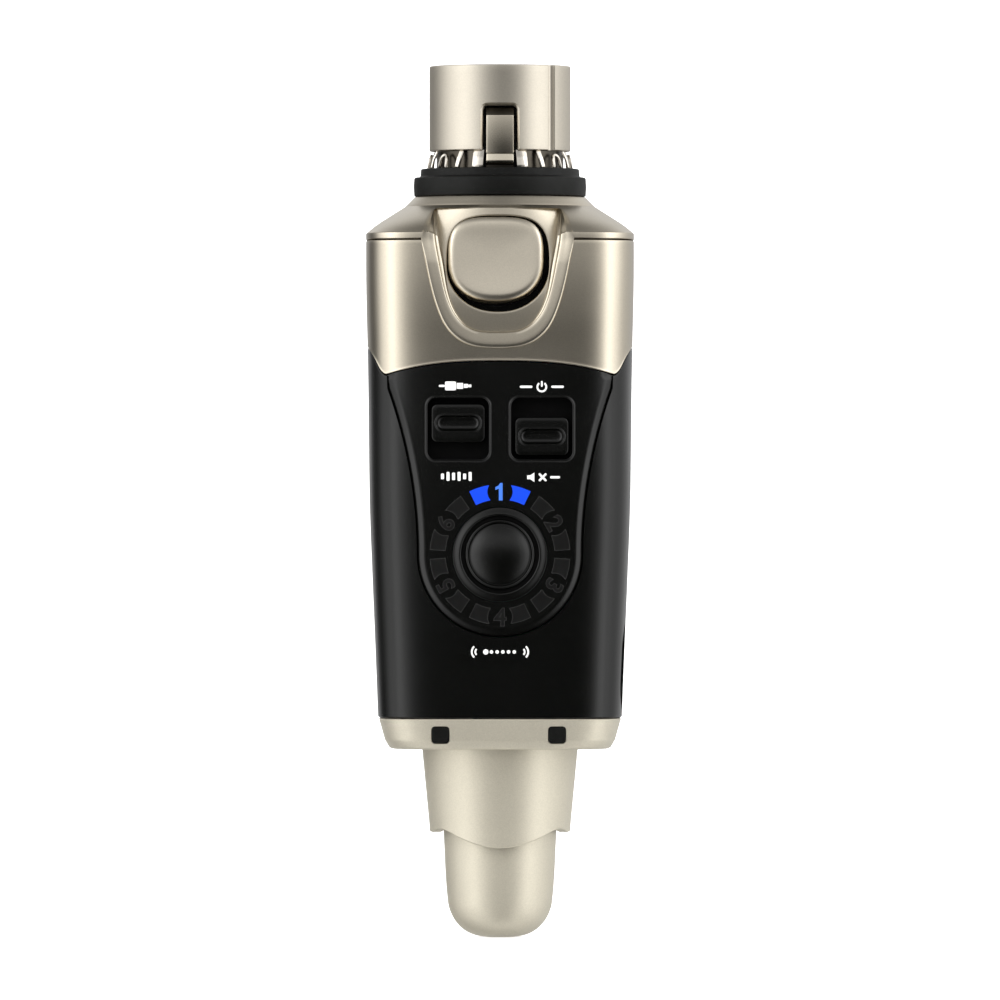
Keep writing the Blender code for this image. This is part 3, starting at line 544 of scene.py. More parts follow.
def merge(name, objs):
    """One object from several, materials kept."""
    mats, verts, faces, marks, start = [], [], [], [], 0
    for obj in objs:
        slots = []
        for mat in obj.data.materials:
            if mat not in mats:
                mats.append(mat)
            slots.append(mats.index(mat))
        verts += [tuple(vert.co) for vert in obj.data.vertices]
        for poly in obj.data.polygons:
            faces.append(tuple(start + i for i in poly.vertices))
            marks.append(slots[poly.material_index])
        start = len(verts)
        bpy.data.objects.remove(obj, do_unlink=True)
    return make(name, verts, faces, mats, marks, units=1.0)


def second_finish(obj, mat, chosen):
    """Another material on the faces that chosen picks; it is used for painted shade."""
    obj.data.materials.append(mat)
    for poly in obj.data.polygons:
        if chosen(poly):
            poly.material_index = 1


def stand_for(obj, body, slot, *nodes):
    """Parents the object to its body's empty and hides the nodes it replaces."""
    if nodes:
        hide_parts(*nodes)
    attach(obj, body)


# ---------------------------------------------------------------- body form
FRONT_DROP = 0.2  # keeps the raised bead within the front of the frame's box
BODY_POWER = 5.2  # squareness of the body's superellipse
QUARTER_STEPS = 84
NECK_SIZE, DROP_SPAN = 9.6, 5.4  # the front drop grows in over these half-widths
WALL = 1.5
# Body half-width: z, half-width.
STATIONS = (
    (-19.0, 15.15), (-24.0, 15.14), (-28.0, 15.07), (-32.0, 14.97), (-38.0, 14.87),
    (-49.0, 14.74), (-57.0, 14.46), (-64.0, 14.17), (-73.8, 13.78),
)


def rising(points, column):
    """A column of a downward table, turned upward for interpolation."""
    return np.array([point[column] for point in points])[::-1]


body_curve = spline(STATIONS, 12)
BODY_Z, BODY_HALF = rising(body_curve, 0), rising(body_curve, 1)


def half_width(z):
    return float(np.interp(z, BODY_Z, BODY_HALF))


def front_drop(z):
    """How far the front skin lies behind a full section: it leans back near the top."""
    lean = min(12.0, max(0.0, z + 31.0))
    return FRONT_DROP + 0.5 * (lean / 12.0) ** 2


def drop_for(size, z):
    return front_drop(z) * min(1.0, max(0.0, (size - NECK_SIZE) / DROP_SPAN))


@cache
def unit_section(power):
    """A unit superellipse from (1, 0) anticlockwise, evenly spaced along it."""
    angles = np.linspace(0.0, math.pi / 2.0, 3000)
    x = np.clip(np.cos(angles), 0, 1) ** (2.0 / power)
    y = np.clip(np.sin(angles), 0, 1) ** (2.0 / power)
    dist = np.concatenate([[0.0], np.cumsum(np.hypot(np.diff(x), np.diff(y)))])
    places = np.linspace(0.0, dist[-1], QUARTER_STEPS + 1)
    quarter = list(zip(np.interp(places, dist, x), np.interp(places, dist, y)))
    onward, back = quarter[:-1], quarter[:0:-1]
    out = [(x, y) for x, y in onward] + [(-x, y) for x, y in back]
    return out + [(-x, -y) for x, y in onward] + [(x, -y) for x, y in back]


def section(size, power, z, drop=None):
    """A superellipse ring across the body, its front half pulled back by drop."""
    if drop is None:
        drop = drop_for(size, z)
    return [
        (float(x) * size, float(y) * (size if y > 0 else size - drop), z)
        for x, y in unit_section(power)
    ]


def front_curve(x, size, power, drop):
    t = min(0.9999, abs(x) / size)
    return -(size - drop) * (1.0 - t**power) ** (1.0 / power)


def face_y(x, z):
    """The y of the body's front skin."""
    return front_curve(x, half_width(z), BODY_POWER, front_drop(z))


CREST_HALF = 12.8  # half-width of the shallow arch in the cover's lower edge
# The edge beyond the arch: x, z.
EDGE_SIDE = (
    (12.8, -34.85), (13.0, -34.8), (13.4, -34.4), (14.1, -33.0), (14.8, -31.9), (17.0, -29.0),
)


def crest_z(x):
    return -33.35 - 1.5 * (abs(x) / CREST_HALF) ** 2.6


def edge_z(x):
    """The silver cover's lower edge, seen from the front."""
    x = abs(x)
    if x <= CREST_HALF:
        return crest_z(x)
    return float(np.interp(x, *zip(*EDGE_SIDE)))


def wall_ring(unit_x, unit_y, z_top, z_end, edge, rows, foot=None, flare=0.0):
    """One closed cut through a body wall, from inside over the top edge and back.

    edge and foot are the rounding at the top and the bottom, flare an outward lip.
    """
    angles = (0.0, 0.4, 0.8, 1.2, math.pi / 2)
    arc = [(edge * (1 - math.cos(angle)), edge * (1 - math.sin(angle))) for angle in angles]
    line = [(WALL, z_top - 0.02)]
    line += [(inset, z_top - down) for inset, down in reversed(arc)]
    foot = edge if foot is None else foot
    for k in range(1, rows):
        t = k / rows
        line.append((0.0, (z_top - edge) * (1 - t) + (z_end + foot) * t))
    if flare:
        line += [(0.0, z_end + foot + 0.16), (-0.35 * flare, z_end + foot + 0.08)]
    line += [(inset * foot / edge - flare, z_end + up * foot / edge) for inset, up in arc]
    line.append((WALL, z_end + 0.02))
    for k in range(1, 6):
        t = k / 6
        line.append((WALL, z_end * (1 - t) + z_top * t))
    out = []
    for inset, z in line:
        size = half_width(z) - inset
        depth = size if unit_y > 0 else size - front_drop(z)
        out.append((unit_x * size, unit_y * depth, z))
    return out


def half_wrap(seam_y, side):
    """Unit directions of the front (side -1) or rear (side 1) half, seam to seam."""
    points = unit_section(BODY_POWER)
    middle = 2 * QUARTER_STEPS
    run = points[middle:] + [points[0]] if side < 0 else points[: middle + 1]
    seam = seam_y / 14.5
    run = [point for point in run if side * point[1] > side * seam + 0.01]
    start_x = 1.0 if run[0][0] > 0 else -1.0
    return [(start_x, seam)] + run + [(-start_x, seam)]


# ---------------------------------------------------------------- plug
BARREL_RADIUS = 8.0
SLOT_HALF, SLOT_TOP, SLOT_CORNER = 1.87, -4.68, 0.5
SLOT_FOOT = -19.0
# Slot outline growing toward the barrel's surface: inset, radius.
SLOT_LEVELS = (
    (0.0, 7.42), (-0.03, 7.58), (-0.08, 7.7), (-0.15, 7.8), (-0.24, 7.885), (-0.31, 7.955),
    (-0.38, 8.04), (-0.5, 8.25),
)
KEY_ANGLE = math.radians(-43.0)
# Half of the keyway's cross-section: across, out from the barrel's surface.
KEY_HALF = (
    (0.0, -0.5), (0.2, -0.475), (0.35, -0.38), (0.45, -0.22), (0.52, -0.08), (0.6, 0.0),
    (0.72, 0.06), (0.95, 0.12), (1.3, 0.3),
)


def slot_cutter():
    """The front slot, its edges flared at the surface."""

    def corner(centre_x, start):
        angles = [math.radians(start + 90 * k / 8) for k in range(9)]
        return [
            (
                centre_x + SLOT_CORNER * math.cos(angle),
                SLOT_TOP - SLOT_CORNER + SLOT_CORNER * math.sin(angle),
            )
            for angle in angles
        ]

    top_half = SLOT_HALF - SLOT_CORNER
    loop = [(-SLOT_HALF, SLOT_FOOT), (SLOT_HALF, SLOT_FOOT)]
    loop += [(SLOT_HALF, SLOT_FOOT + 0.9 * k) for k in range(1, 15)]
    loop += corner(top_half, 0)
    loop += [(top_half - 2 * top_half / 20 * k, SLOT_TOP) for k in range(1, 20)]
    loop += corner(-top_half, 90)
    loop += [(-SLOT_HALF, SLOT_FOOT + 0.9 * k) for k in range(14, 0, -1)]
    rings = [[(x, -5.0, z) for x, z in loop]]
    for inset, radius in SLOT_LEVELS:
        rings.append([(x, -math.sqrt(radius * radius - x * x), z) for x, z in offset(loop, inset)])
    rings.append([(x, -12.0, z) for x, z in offset(loop, -0.5)])
    return skin("slot_tool", rings)


def key_cutter():
    """The keyway along the barrel's front right."""
    loop = [(across, BARREL_RADIUS + out) for across, out in KEY_HALF]
    loop += [(-across, BARREL_RADIUS + out) for across, out in reversed(KEY_HALF[1:])]
    cos, sin = math.cos(KEY_ANGLE), math.sin(KEY_ANGLE)
    rings = []
    for z in (1.0, -0.4, -2.0, -4.0, -6.0, -8.0, -9.4, -10.4):
        rings.append(
            [(out * cos - across * sin, out * sin + across * cos, z) for across, out in loop]
        )
    return skin("key_tool", rings)


def plug_barrel():
    profile = rounded(
        [
            (BARREL_RADIUS, 0.0), (BARREL_RADIUS, -9.65), (7.2, -9.65), (7.2, -17.5),
            (6.3, -17.5), (6.3, -8.5), (7.0, -8.5), (7.0, 0.0),
        ],
        [0.16, 0.16, 0.1, 0.1, 0.1, 0.1, 0.1, 0.16],
        6,
    )
    # Rows along the barrel keep the faces short where it is cut.
    dense = []
    for point, after in zip(profile, profile[1:] + profile[:1]):
        dense.append(point)
        parts = int(math.dist(point, after) / 0.55)
        for k in range(1, parts):
            t = k / parts
            dense.append((point[0] * (1 - t) + after[0] * t, point[1] * (1 - t) + after[1] * t))
    barrel = lathe("connector_nose_turned", dense, TURNED, steps=256)
    cut(barrel, slot_cutter(), key_cutter(), angle=28.0)
    barrel.name = "plug_barrel"
    # Painted shade: dark nickel on the spigot below the barrel's lip and on its inner faces, so the
    # gaps between the crown's strips read dark.
    second_finish(
        barrel,
        PAINTED_SHADE,
        lambda poly: poly.center.z < -9.68 * MM
        or (poly.center.x**2 + poly.center.y**2) ** 0.5 < 6.9 * MM,
    )
    settle(barrel, 0.07)
    stand_for(barrel, "housing", "satin_nickel", "connector_nose")


plug_barrel()

# Insert with its three contact holes, each with a small countersink.
CONTACTS = ((3.6, -1.8), (-3.6, -1.8), (0.0, 4.0))
insert = lathe(
    "plug_insert",
    rounded(
        [(0.0, 0.0), (6.72, 0.0), (6.72, -8.2), (6.0, -8.2), (6.0, -16.5), (0.0, -16.5)],
        0.22,
        closed=False,
    ),
    BLACK,
)
HOLE = (
    (0.0, 1.0), (2.3, 1.0), (2.3, 0.1), (1.95, -0.28), (1.8, -0.45), (1.8, -18.0), (0.0, -18.0),
)
tools = []
for number, (x, y) in enumerate(CONTACTS, 1):
    tools.append(
        lathe(f"hole_{number}", HOLE, steps=48, matrix=Matrix.Translation((x, y, 0.0)))
    )
channel_loop = [(-2.0, -18.0), (2.0, -18.0), (2.0, -4.2), (-2.0, -4.2)]
tools.append(prism("tongue_channel", channel_loop, 4.5, 9.0, front()))
cut(insert, *tools, angle=28.0)
stand_for(insert, "housing", "black_plastic", "contact_insert")

contact_profile = rounded(
    [
        (0.0, -13.0), (1.2, -13.0), (1.2, -1.25), (1.32, -1.0), (1.5, -1.0), (1.5, -15.0),
        (0.5, -15.6), (0.5, -18.6), (0.0, -18.6),
    ],
    0.06,
    3,
    closed=False,
)
for number, (x, y) in enumerate(CONTACTS, 1):
    contact = lathe(
        f"plug_contact_{number}",
        contact_profile,
        GOLD,
        steps=48,
        matrix=Matrix.Translation((x, y, 0.0)),
    )
    stand_for(contact, "housing", "contact_gold", f"socket_contact_{number}")

# ---------------------------------------------------------------- spring crown
# Crown radius: z, radius.
CROWN_RADII = ((-14.6, 7.8), (-12.2, 7.85), (-11.5, 8.12), (-10.6, 7.95), (-9.7, 7.55))
STRIP_THICK = 0.16
# Paths of the strips: degrees from their middle, z.
ARCH = (
    (-5.2, -12.4), (-5.4, -11.2), (-4.9, -10.55), (-3.0, -10.2), (0.4, -10.25), (2.4, -10.7),
    (3.4, -11.5), (4.4, -12.4),
)
FINGER = ((-1.6, -9.72), (-0.8, -10.6), (0.4, -11.5), (1.2, -12.5))
SLOT_SIDE = ((18.2, -9.72), (18.0, -10.6), (18.2, -11.5), (18.4, -12.5))


def crown_strip(path, middle, lean, width):
    """A flat sprung strip; middle is in degrees from the front, lean mirrors the path."""
    centres = []
    for degrees, z in spline([(middle + turn * lean, z) for turn, z in path], 5):
        angle = math.radians(degrees) - math.pi / 2.0
        radius = float(np.interp(z, *zip(*CROWN_RADII)))
        cos, sin = math.cos(angle), math.sin(angle)
        centres.append((Vector((radius * cos, radius * sin, z)), Vector((cos, sin, 0.12))))
    half, thick = width / 2.0, STRIP_THICK
    cross = (
        (half, 0.45 * thick), (0.7 * half, thick), (-0.7 * half, thick), (-half, 0.45 * thick),
        (-half, -0.5 * thick), (-0.7 * half, -thick), (0.7 * half, -thick),
        (half, -0.5 * thick),
    )
    rings = []
    for i, (centre, out) in enumerate(centres):
        before = centres[max(0, i - 1)][0]
        after = centres[min(len(centres) - 1, i + 1)][0]
        along = (after - before).normalized()
        side = along.cross(out.normalized()).normalized()
        out = side.cross(along).normalized()
        rings.append([tuple(centre + side * x + out * y) for x, y in cross])
    return skin("strip", rings, POLISHED)


crown_profile = rounded([(8.1, -11.9), (8.1, -14.6), (7.5, -14.6), (7.5, -11.9)], 0.1, 3)
# The crown's base ring is dark nickel: painted shade behind the strips.
crown_parts = [lathe("crown_ring", crown_profile, PAINTED_SHADE, steps=120)]
for k in range(19):
    middle = 18.0 * (k + 1)
    lean = 1.0 if middle < 180.0 else -1.0
    if k % 2 == 0 and 26.0 < middle < 334.0:
        crown_parts.append(crown_strip(ARCH, middle, lean, width=0.34))
    else:
        crown_parts.append(crown_strip(FINGER, middle, lean, width=0.6))
for side in (-1.0, 1.0):
    crown_parts.append(crown_strip(SLOT_SIDE, 0.0, side, width=1.25))
stand_for(merge("spring_crown", crown_parts), "housing", "polished_nickel", "ground_crown")

gasket = lathe(
    "rubber_gasket",
    rounded(
        [
            (8.55, -11.64), (8.96, -11.64), (9.02, -12.55), (9.72, -12.63), (9.79, -13.7),
            (9.72, -14.72), (8.45, -14.9), (8.4, -11.64),
        ],
        [0.05, 0.13, 0.2, 0.2, 0.3, 0.12, 0.1, 0.1],
        6,
    ),
    RUBBER,
    steps=200,
)
stand_for(gasket, "housing", "black_rubber", "gasket_ring")

# ---------------------------------------------------------------- scoop curves
SCOOP_X, SCOOP_Z = -0.27, -22.6
SCOOP_DROP, SCOOP_LENGTH = 2.2, 14.3
SCOOP_TOP_Z = -15.9
SCOOP_RADIUS = 11.3
TILT = math.atan2(SCOOP_DROP, SCOOP_LENGTH)


def plane_y(z):
    return -11.2 - SCOOP_DROP * (SCOOP_TOP_Z - z) / SCOOP_LENGTH


def bed_y(z):
    """The scoop's bed: the tilted plane, upright again below the button."""
    low = max(0.0, -25.6 - z)
    return plane_y(z) + 0.1538 * (low - 1.3 * (1.0 - math.exp(-low / 1.3)))


def floor_y(x, z):
    """The scoop's floor: round like the neck at its top, flat lower down."""
    away = min(abs(x - SCOOP_X), 9.5)
    drop = SCOOP_RADIUS - math.sqrt(SCOOP_RADIUS**2 - away * away)
    fade = (1.0 - min(1.0, max(0.0, (-16.2 - z) / 9.5))) ** 1.7
    return bed_y(z) + drop * fade


# Outer shoulder: half-width, power, z.
SHOULDER = spline(
    [(10.72, 2.0, -15.9), (12.40, 2.9, -17.0), (13.93, 4.0, -18.05), (15.03, 5.1, -18.98)], 8
)
SHOULDER_SIZE, SHOULDER_POWER, SHOULDER_Z = (rising(SHOULDER, k) for k in range(3))


def skin_y(x, z):
    """The y of the silver's front skin, on the shoulder or on the cover."""
    if z < -18.98:
        return face_y(x, min(z, -19.0))
    size = float(np.interp(z, SHOULDER_Z, SHOULDER_SIZE))
    power = float(np.interp(z, SHOULDER_Z, SHOULDER_POWER))
    return front_curve(x, size, power, drop_for(size, z))


def polar(loop, eye_x):
    """Angles and radii of an outline about (eye_x, SCOOP_Z)."""
    found = sorted(
        (math.atan2(z - SCOOP_Z, x - eye_x) % math.tau, math.hypot(x - eye_x, z - SCOOP_Z))
        for x, z in loop
    )
    return np.array([angle for angle, _ in found]), np.array([radius for _, radius in found])


def scoop_curve(points):
    """A flat top, then a curve down the right side, mirrored to the left."""
    dense = resample([points[0]] + spline(points[1:], 14), 1500, closed=False)
    return polar(dense + [(-x, z) for x, z in reversed(dense[1:-1])], 0.0)


# Right halves of the scoop's outlines, from the top middle: x, z.
OUTER = scoop_curve([
    (0.0, -16.2), (7.1, -16.2), (7.62, -16.62), (8.14, -17.4), (8.48, -18.7), (8.58, -19.6),
    (8.50, -20.43), (8.16, -22.2), (7.76, -24.2), (7.3, -26.1), (6.78, -27.75), (6.16, -29.2),
    (5.3, -30.42), (4.08, -31.4), (2.7, -31.93), (1.3, -32.12), (0.0, -32.16),
])
INNER = scoop_curve([
    (0.0, -16.24), (7.06, -16.24), (7.34, -16.95), (7.62, -18.2), (7.68, -19.3), (7.58, -20.4),
    (7.14, -22.7), (6.66, -24.6), (6.04, -26.6), (5.2, -28.3), (4.35, -29.3), (3.5, -29.87),
    (2.5, -30.28), (1.2, -30.44), (0.0, -30.47),
])
BASE = scoop_curve([
    (0.0, -16.3), (6.9, -16.3), (6.68, -18.2), (6.4, -20.1), (5.98, -22.6), (5.56, -25.5),
    (4.9, -27.6), (3.78, -29.25), (2.6, -29.98), (1.2, -30.22), (0.0, -30.25),
])


def pad(half_w, half_h, top_power, end_power, count=240):
    """A superellipse with one power above its middle and another below."""
    points = []
    for k in range(count):
        angle = math.tau * k / count
        cos, sin = math.cos(angle), math.sin(angle)
        bend = 2.0 / (top_power if sin > 0 else end_power)
        x = half_w * math.copysign(abs(cos) ** bend, cos)
        points.append((x, half_h * math.copysign(abs(sin) ** bend, sin)))
    return resample(points, count)


OPENING = polar(
    [
        (SCOOP_X + 0.04 + x, -22.58 + y * math.cos(TILT))
        for x, y in pad(5.72, 5.44, top_power=3.2, end_power=2.15, count=720)
    ],
    SCOOP_X,
)


def radius_at(curve, angle):
    return float(np.interp(angle, *curve, period=math.tau))


def scoop_spot(radius, angle):
    return SCOOP_X + radius * math.cos(angle), SCOOP_Z + radius * math.sin(angle)


def scoop_cutter(name, low):
    """Cuts just inside the bezel's outline."""
    angles = [math.tau * k / 420 for k in range(420)]
    loop = [scoop_spot(radius_at(OUTER, angle) - 0.16, angle) for angle in angles]
    return prism(name, loop, low, 20.0, front())


# ---------------------------------------------------------------- shoulder
# Rings of half-width, power, z: over the neck, down the outside, back up the inside.
NECK_RINGS = (
    (7.5, 2.0, -15.0), (9.3, 2.0, -14.74), (9.5, 2.0, -14.75), (9.6, 2.0, -14.8),
    (9.74, 2.0, -14.92), (10.1, 2.0, -15.28), (10.42, 2.0, -15.6), (10.64, 2.0, -15.8),
)
RETURN_RINGS = (
    (15.1, 5.16, -19.03), (15.14, 5.2, -19.1), (15.15, 5.2, -19.2), (15.15, 5.2, -19.45),
    (15.15, 5.2, -19.68), (15.12, 5.2, -19.75), (15.05, 5.2, -19.8), (13.95, 5.2, -19.8),
    (13.9, 5.0, -19.4), (12.8, 4.0, -18.7), (11.3, 2.9, -17.8), (9.3, 2.0, -16.5),
    (7.5, 2.0, -16.3),
)
rings = [section(*station) for station in (*NECK_RINGS, *SHOULDER, *RETURN_RINGS)]
shoulder = skin("silver_shoulder", rings, SATIN, looped=True, angle=24.0)
notch_loop = [(-2.0, -18.0), (2.0, -18.0), (2.0, -14.0), (-2.0, -14.0)]
cut(
    shoulder,
    scoop_cutter("scoop_tool_a", 8.3),
    prism("lever_notch", notch_loop, 6.0, 9.0, front()),
    angle=24.0,
)
stand_for(shoulder, "housing", "satin_nickel", "shoulder_cap")

# ---------------------------------------------------------------- upper cover
rings = []
for x, y in unit_section(BODY_POWER):
    z_end = edge_z(x * half_width(edge_z(x * half_width(-33.0)))) - 0.17
    rings.append(
        wall_ring(float(x), float(y), -19.93, z_end, edge=0.1, rows=40, foot=0.08, flare=0.03)
    )
cover = skin("silver_cover", rings, SATIN, looped=True, angle=30.0)
cut(cover, scoop_cutter("scoop_tool_b", 9.0), angle=30.0)
stand_for(cover, "housing", "satin_nickel", "upper_cover")

# ---------------------------------------------------------------- scooped bezel with its bead
BEAD_RISE = 0.26
# Across the bead: share of its width inward, share of its rise.
BEAD = (
    (0.03, 0.3), (0.06, 0.56), (0.09, 0.75), (0.125, 0.88), (0.17, 0.96), (0.22, 1.0),
    (0.32, 0.97), (0.44, 0.9), (0.56, 0.81), (0.7, 0.7), (0.86, 0.57), (1.0, 0.45),
)
# Down the scoop's side: share of its width inward, share of its depth.
SIDE = (
    (0.08, 0.006), (0.2, 0.016), (0.32, 0.027), (0.4, 0.036), (0.46, 0.05), (0.5, 0.075),
    (0.53, 0.12), (0.56, 0.25), (0.58, 0.45), (0.61, 0.475), (0.68, 0.485), (0.76, 0.5),
    (0.82, 0.515), (0.86, 0.54), (0.89, 0.59), (0.92, 0.74), (0.945, 0.93), (0.97, 0.985),
    (1.0, 1.0),
)
FLOOR_SHARES = (0.04, 0.1, 0.18, 0.28, 0.4, 0.52, 0.64, 0.76, 0.86, 0.93)
# The opening's rounded edge: radius beyond it, depth.
OPENING_EDGE = ((0.2, 0.0), (0.12, 0.012), (0.06, 0.04), (0.02, 0.09), (0.0, 0.16))


def bezel_line(angle):
    """One closed cut through the bezel, from outside over the bead to the opening."""
    outer = radius_at(OUTER, angle)
    inner = min(radius_at(INNER, angle), outer - 0.02)
    base = min(radius_at(BASE, angle), inner - 0.02)
    hole = radius_at(OPENING, angle)
    line = []

    def put(radius, y):
        x, z = scoop_spot(radius, angle)
        line.append((x, y, z))

    def on(surface, radius):
        return surface(*scoop_spot(radius, angle))

    top = on(skin_y, outer)
    put(outer - 0.42, top + 1.35)
    put(outer - 0.42, top + 0.3)
    put(outer, top + 0.03)
    rise = BEAD_RISE * smoothstep((-19.4 - scoop_spot(outer, angle)[1]) / 3.2)
    width = outer - inner
    lip = min(1.0, width / 0.4)
    for share, height in BEAD:
        radius = outer - width * share
        sink = 0.22 * lip * share**1.5 * (1.0 - rise / BEAD_RISE)
        put(radius, on(skin_y, radius) - rise * height + sink)
    start_y = line[-1][1]
    end_y = on(floor_y, base)
    for share, depth in SIDE:
        put(inner - (inner - base) * share, start_y + (end_y - start_y) * depth)
    for share in FLOOR_SHARES:
        radius = base + (hole + 0.2 - base) * share
        put(radius, on(floor_y, radius))
    for grow, sink in OPENING_EDGE:
        put(hole + grow, on(floor_y, hole + grow) + sink)
    for radius in (hole, max(hole + 0.3, base - 0.2)):
        put(radius, on(floor_y, radius) + 1.25)
    return line


bezel_rings = [bezel_line(math.tau * k / 480) for k in range(480)]
bezel = skin("scoop_bezel", bezel_rings, SATIN, looped=True, angle=26.0)
stand_for(bezel, "housing", "satin_nickel", "button_bezel")

# ---------------------------------------------------------------- release button
BUTTON_Z = -22.2
BUTTON_HEIGHT = 1.2
EDGE_WIDTH, EDGE_HEIGHT = 0.78, 0.5  # the rounded edge of the cap
button_at = front(-0.48, plane_y(BUTTON_Z), BUTTON_Z, TILT)
levels = [(0.06, -1.62), (0.0, -1.5), (0.0, BUTTON_HEIGHT - EDGE_HEIGHT)]
for k in range(1, 9):
    angle = math.pi / 2 * k / 8
    height = BUTTON_HEIGHT - EDGE_HEIGHT * (1 - math.sin(angle))
    levels.append((EDGE_WIDTH * (1 - math.cos(angle)), height))
levels += [(1.05, 1.195), (1.4, 1.18)]
cap_loop = pad(5.38, 4.8, top_power=3.3, end_power=2.3)
cap = pillow("cap_pad", cap_loop, levels, CAP, button_at, dish=0.1, rows=14)
# The flange is near-black and barely glossy: painted shade in the gap round the cap.
flange = pillow(
    "cap_flange",
    rounded_rect(0.0, -0.45, 6.0, 5.6, 2.0),
    [(0.1, -2.18), (0.0, -2.08), (0.0, -1.72), (0.1, -1.62)],
    DEEP,
    button_at,
)
button = merge("release_cap", [cap, flange])
shade(button, 40.0)
stand_for(button, "release_button", "satin_nickel", "release_button")

# ---------------------------------------------------------------- latch lever
PIVOT_Y, PIVOT_Z, EYE_RADIUS = -9.6, -33.8, 1.5
EYE_START = 66.4
# Front side downward: y, z, corner radius.
LEVER_FRONT = (
    (-6.6, -5.0, 0.15), (-7.1, -4.85, 0.12), (-7.78, -5.78, 0.14), (-7.95, -8.2, 1.2),
    (-7.86, -10.0, 0.1), (-7.72, -10.1, 0.05), (-7.96, -10.85, 0.12), (-7.8, -11.2, 0.25),
    (-7.4, -11.3, 0.1), (-7.4, -15.8, 0.6), (-9.25, -19.3, 0.8), (-9.9, -23.5, 0.5),
    (-9.0, -24.2, 0.2),
)
# Rear side upward: y, z, corner radius.
LEVER_REAR = (
    (-8.1, -24.4, 0.3), (-9.02, -23.2, 0.4), (-8.66, -19.7, 0.6), (-6.9, -16.2, 0.5),
    (-6.85, -10.6, 0.3), (-7.2, -9.8, 0.2), (-7.2, -6.0, 0.2),
)
# Side faces with eased edges: inset, x.
LEVER_LEVELS = (
    (0.14, -1.56), (0.05, -1.52), (0.0, -1.4), (0.0, 0.0), (0.0, 1.4), (0.05, 1.52), (0.14, 1.56),
)


def lever_side(table, steps):
    points = [(y, z) for y, z, _ in table]
    return rounded(points, [radius for _, _, radius in table], steps, closed=False)


eye = []
for k in range(25):
    angle = math.radians(EYE_START + (360.0 - EYE_START) * k / 24)
    eye.append((PIVOT_Y + EYE_RADIUS * math.cos(angle), PIVOT_Z + EYE_RADIUS * math.sin(angle)))
side_loop = lever_side(LEVER_FRONT, 5) + eye + lever_side(LEVER_REAR, 4)
rings = [layer(right(), offset(side_loop, inset), x) for inset, x in LEVER_LEVELS]
lever = skin("latch_tongue", rings, TONGUE)
pin_profile = [(0.0, 3.0), (0.62, 3.0), (0.62, -3.0), (0.0, -3.0)]
cut(lever, lathe("pin_hole", pin_profile, steps=32, matrix=right(0.0, PIVOT_Y, PIVOT_Z)))
# Painted reflection and shade: dark nickel on the upward facets at the top and on the band below the
# lip.
second_finish(
    lever,
    PAINTED_SHADE,
    lambda poly: (poly.center.z > -5.72 * MM and poly.normal.z > 0.35)
    or -16.0 * MM < poly.center.z < -11.22 * MM,
)
stand_for(lever, "latch_lever", "polished_nickel", "latch_lever")

# ---------------------------------------------------------------- return spring
COIL_RADIUS, COIL_WIRE, COIL_TURNS = 1.2, 0.16, 4
COIL_LENGTH, COIL_FRONT_Y, COIL_Z = 2.5, -8.2, -21.6
rings = []
for k in range(COIL_TURNS * 36 + 1):
    angle = math.tau * k / 36
    cos, sin = math.cos(angle), math.sin(angle)
    outward = Vector((cos, 0.0, sin))
    climb = COIL_LENGTH / (COIL_TURNS * math.tau)
    along = Vector((-sin * COIL_RADIUS, climb, cos * COIL_RADIUS)).normalized()
    across = along.cross(outward)
    y = COIL_FRONT_Y + COIL_LENGTH * k / (COIL_TURNS * 36)
    centre = Vector((0.0, y, COIL_Z)) + COIL_RADIUS * outward
    wire = [math.tau * j / 12 for j in range(12)]
    rings.append(
        [tuple(centre + COIL_WIRE * (math.cos(t) * outward + math.sin(t) * across)) for t in wire]
    )
spring = skin("coil_spring", rings, STEEL)
stand_for(spring, "housing", "spring_steel", "button_spring")
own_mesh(spring)

# ---------------------------------------------------------------- black shells
SHIELD_RADIUS, DIAL_Z = 9.27, -55.25
SHIELD_GAP = 0.3  # below the silver cover's edge


def shield_half(z):
    return SHIELD_RADIUS + 3.85 * ((z - DIAL_Z) / 20.05) ** 2.0


def shield_loop(grow=0.0, top_lift=0.0):
    """The control panel's outline, anticlockwise, its crest raised by top_lift."""
    top_z = edge_z(CREST_HALF) - SHIELD_GAP
    side_z = [top_z + (DIAL_Z - top_z) * k / 110.0 for k in range(110)]
    side = [(shield_half(z), z) for z in side_z]
    angles = [math.pi * k / 150.0 for k in range(151)]
    arc = [
        (SHIELD_RADIUS * math.cos(angle), DIAL_Z - SHIELD_RADIUS * math.sin(angle))
        for angle in angles
    ]
    left = [(-x, z) for x, z in reversed(side)]
    top_half = side[0][0]
    crest_x = [-top_half + 2 * top_half * k / 100.0 for k in range(1, 100)]
    loop = side + arc + left + [(x, crest_z(x) - SHIELD_GAP) for x in crest_x]
    loop.reverse()
    return [(x, z + top_lift if z > -36.5 else z) for x, z in offset(loop, -grow)]


def half_shell(name, seam_y, side):
    """The front (side -1) or rear (side 1) shell below the silver cover."""
    rings = []
    for x, y in half_wrap(seam_y, side):
        near_z = edge_z(x * half_width(-33.0)) - SHIELD_GAP
        z_top = edge_z(x * half_width(near_z)) - SHIELD_GAP
        rings.append(wall_ring(float(x), float(y), z_top, -73.65, edge=0.16, rows=110))
    return skin(name, rings, BLACK, angle=30.0)


shell = half_shell("front_half", 0.35, -1)
port_loop = rounded_rect(-6.2, -67.86, 3.1, 5.0, 3.09, 12)
cut(
    shell,
    prism("shield_tool", shield_loop(grow=0.07, top_lift=2.0), 7.0, 20.0, front()),
    prism("port_tool", port_loop, 10.0, 18.0, right()),
    angle=30.0,
)
settle(shell, 0.1, 45.0)
stand_for(shell, "housing", "black_plastic", "front_shell")

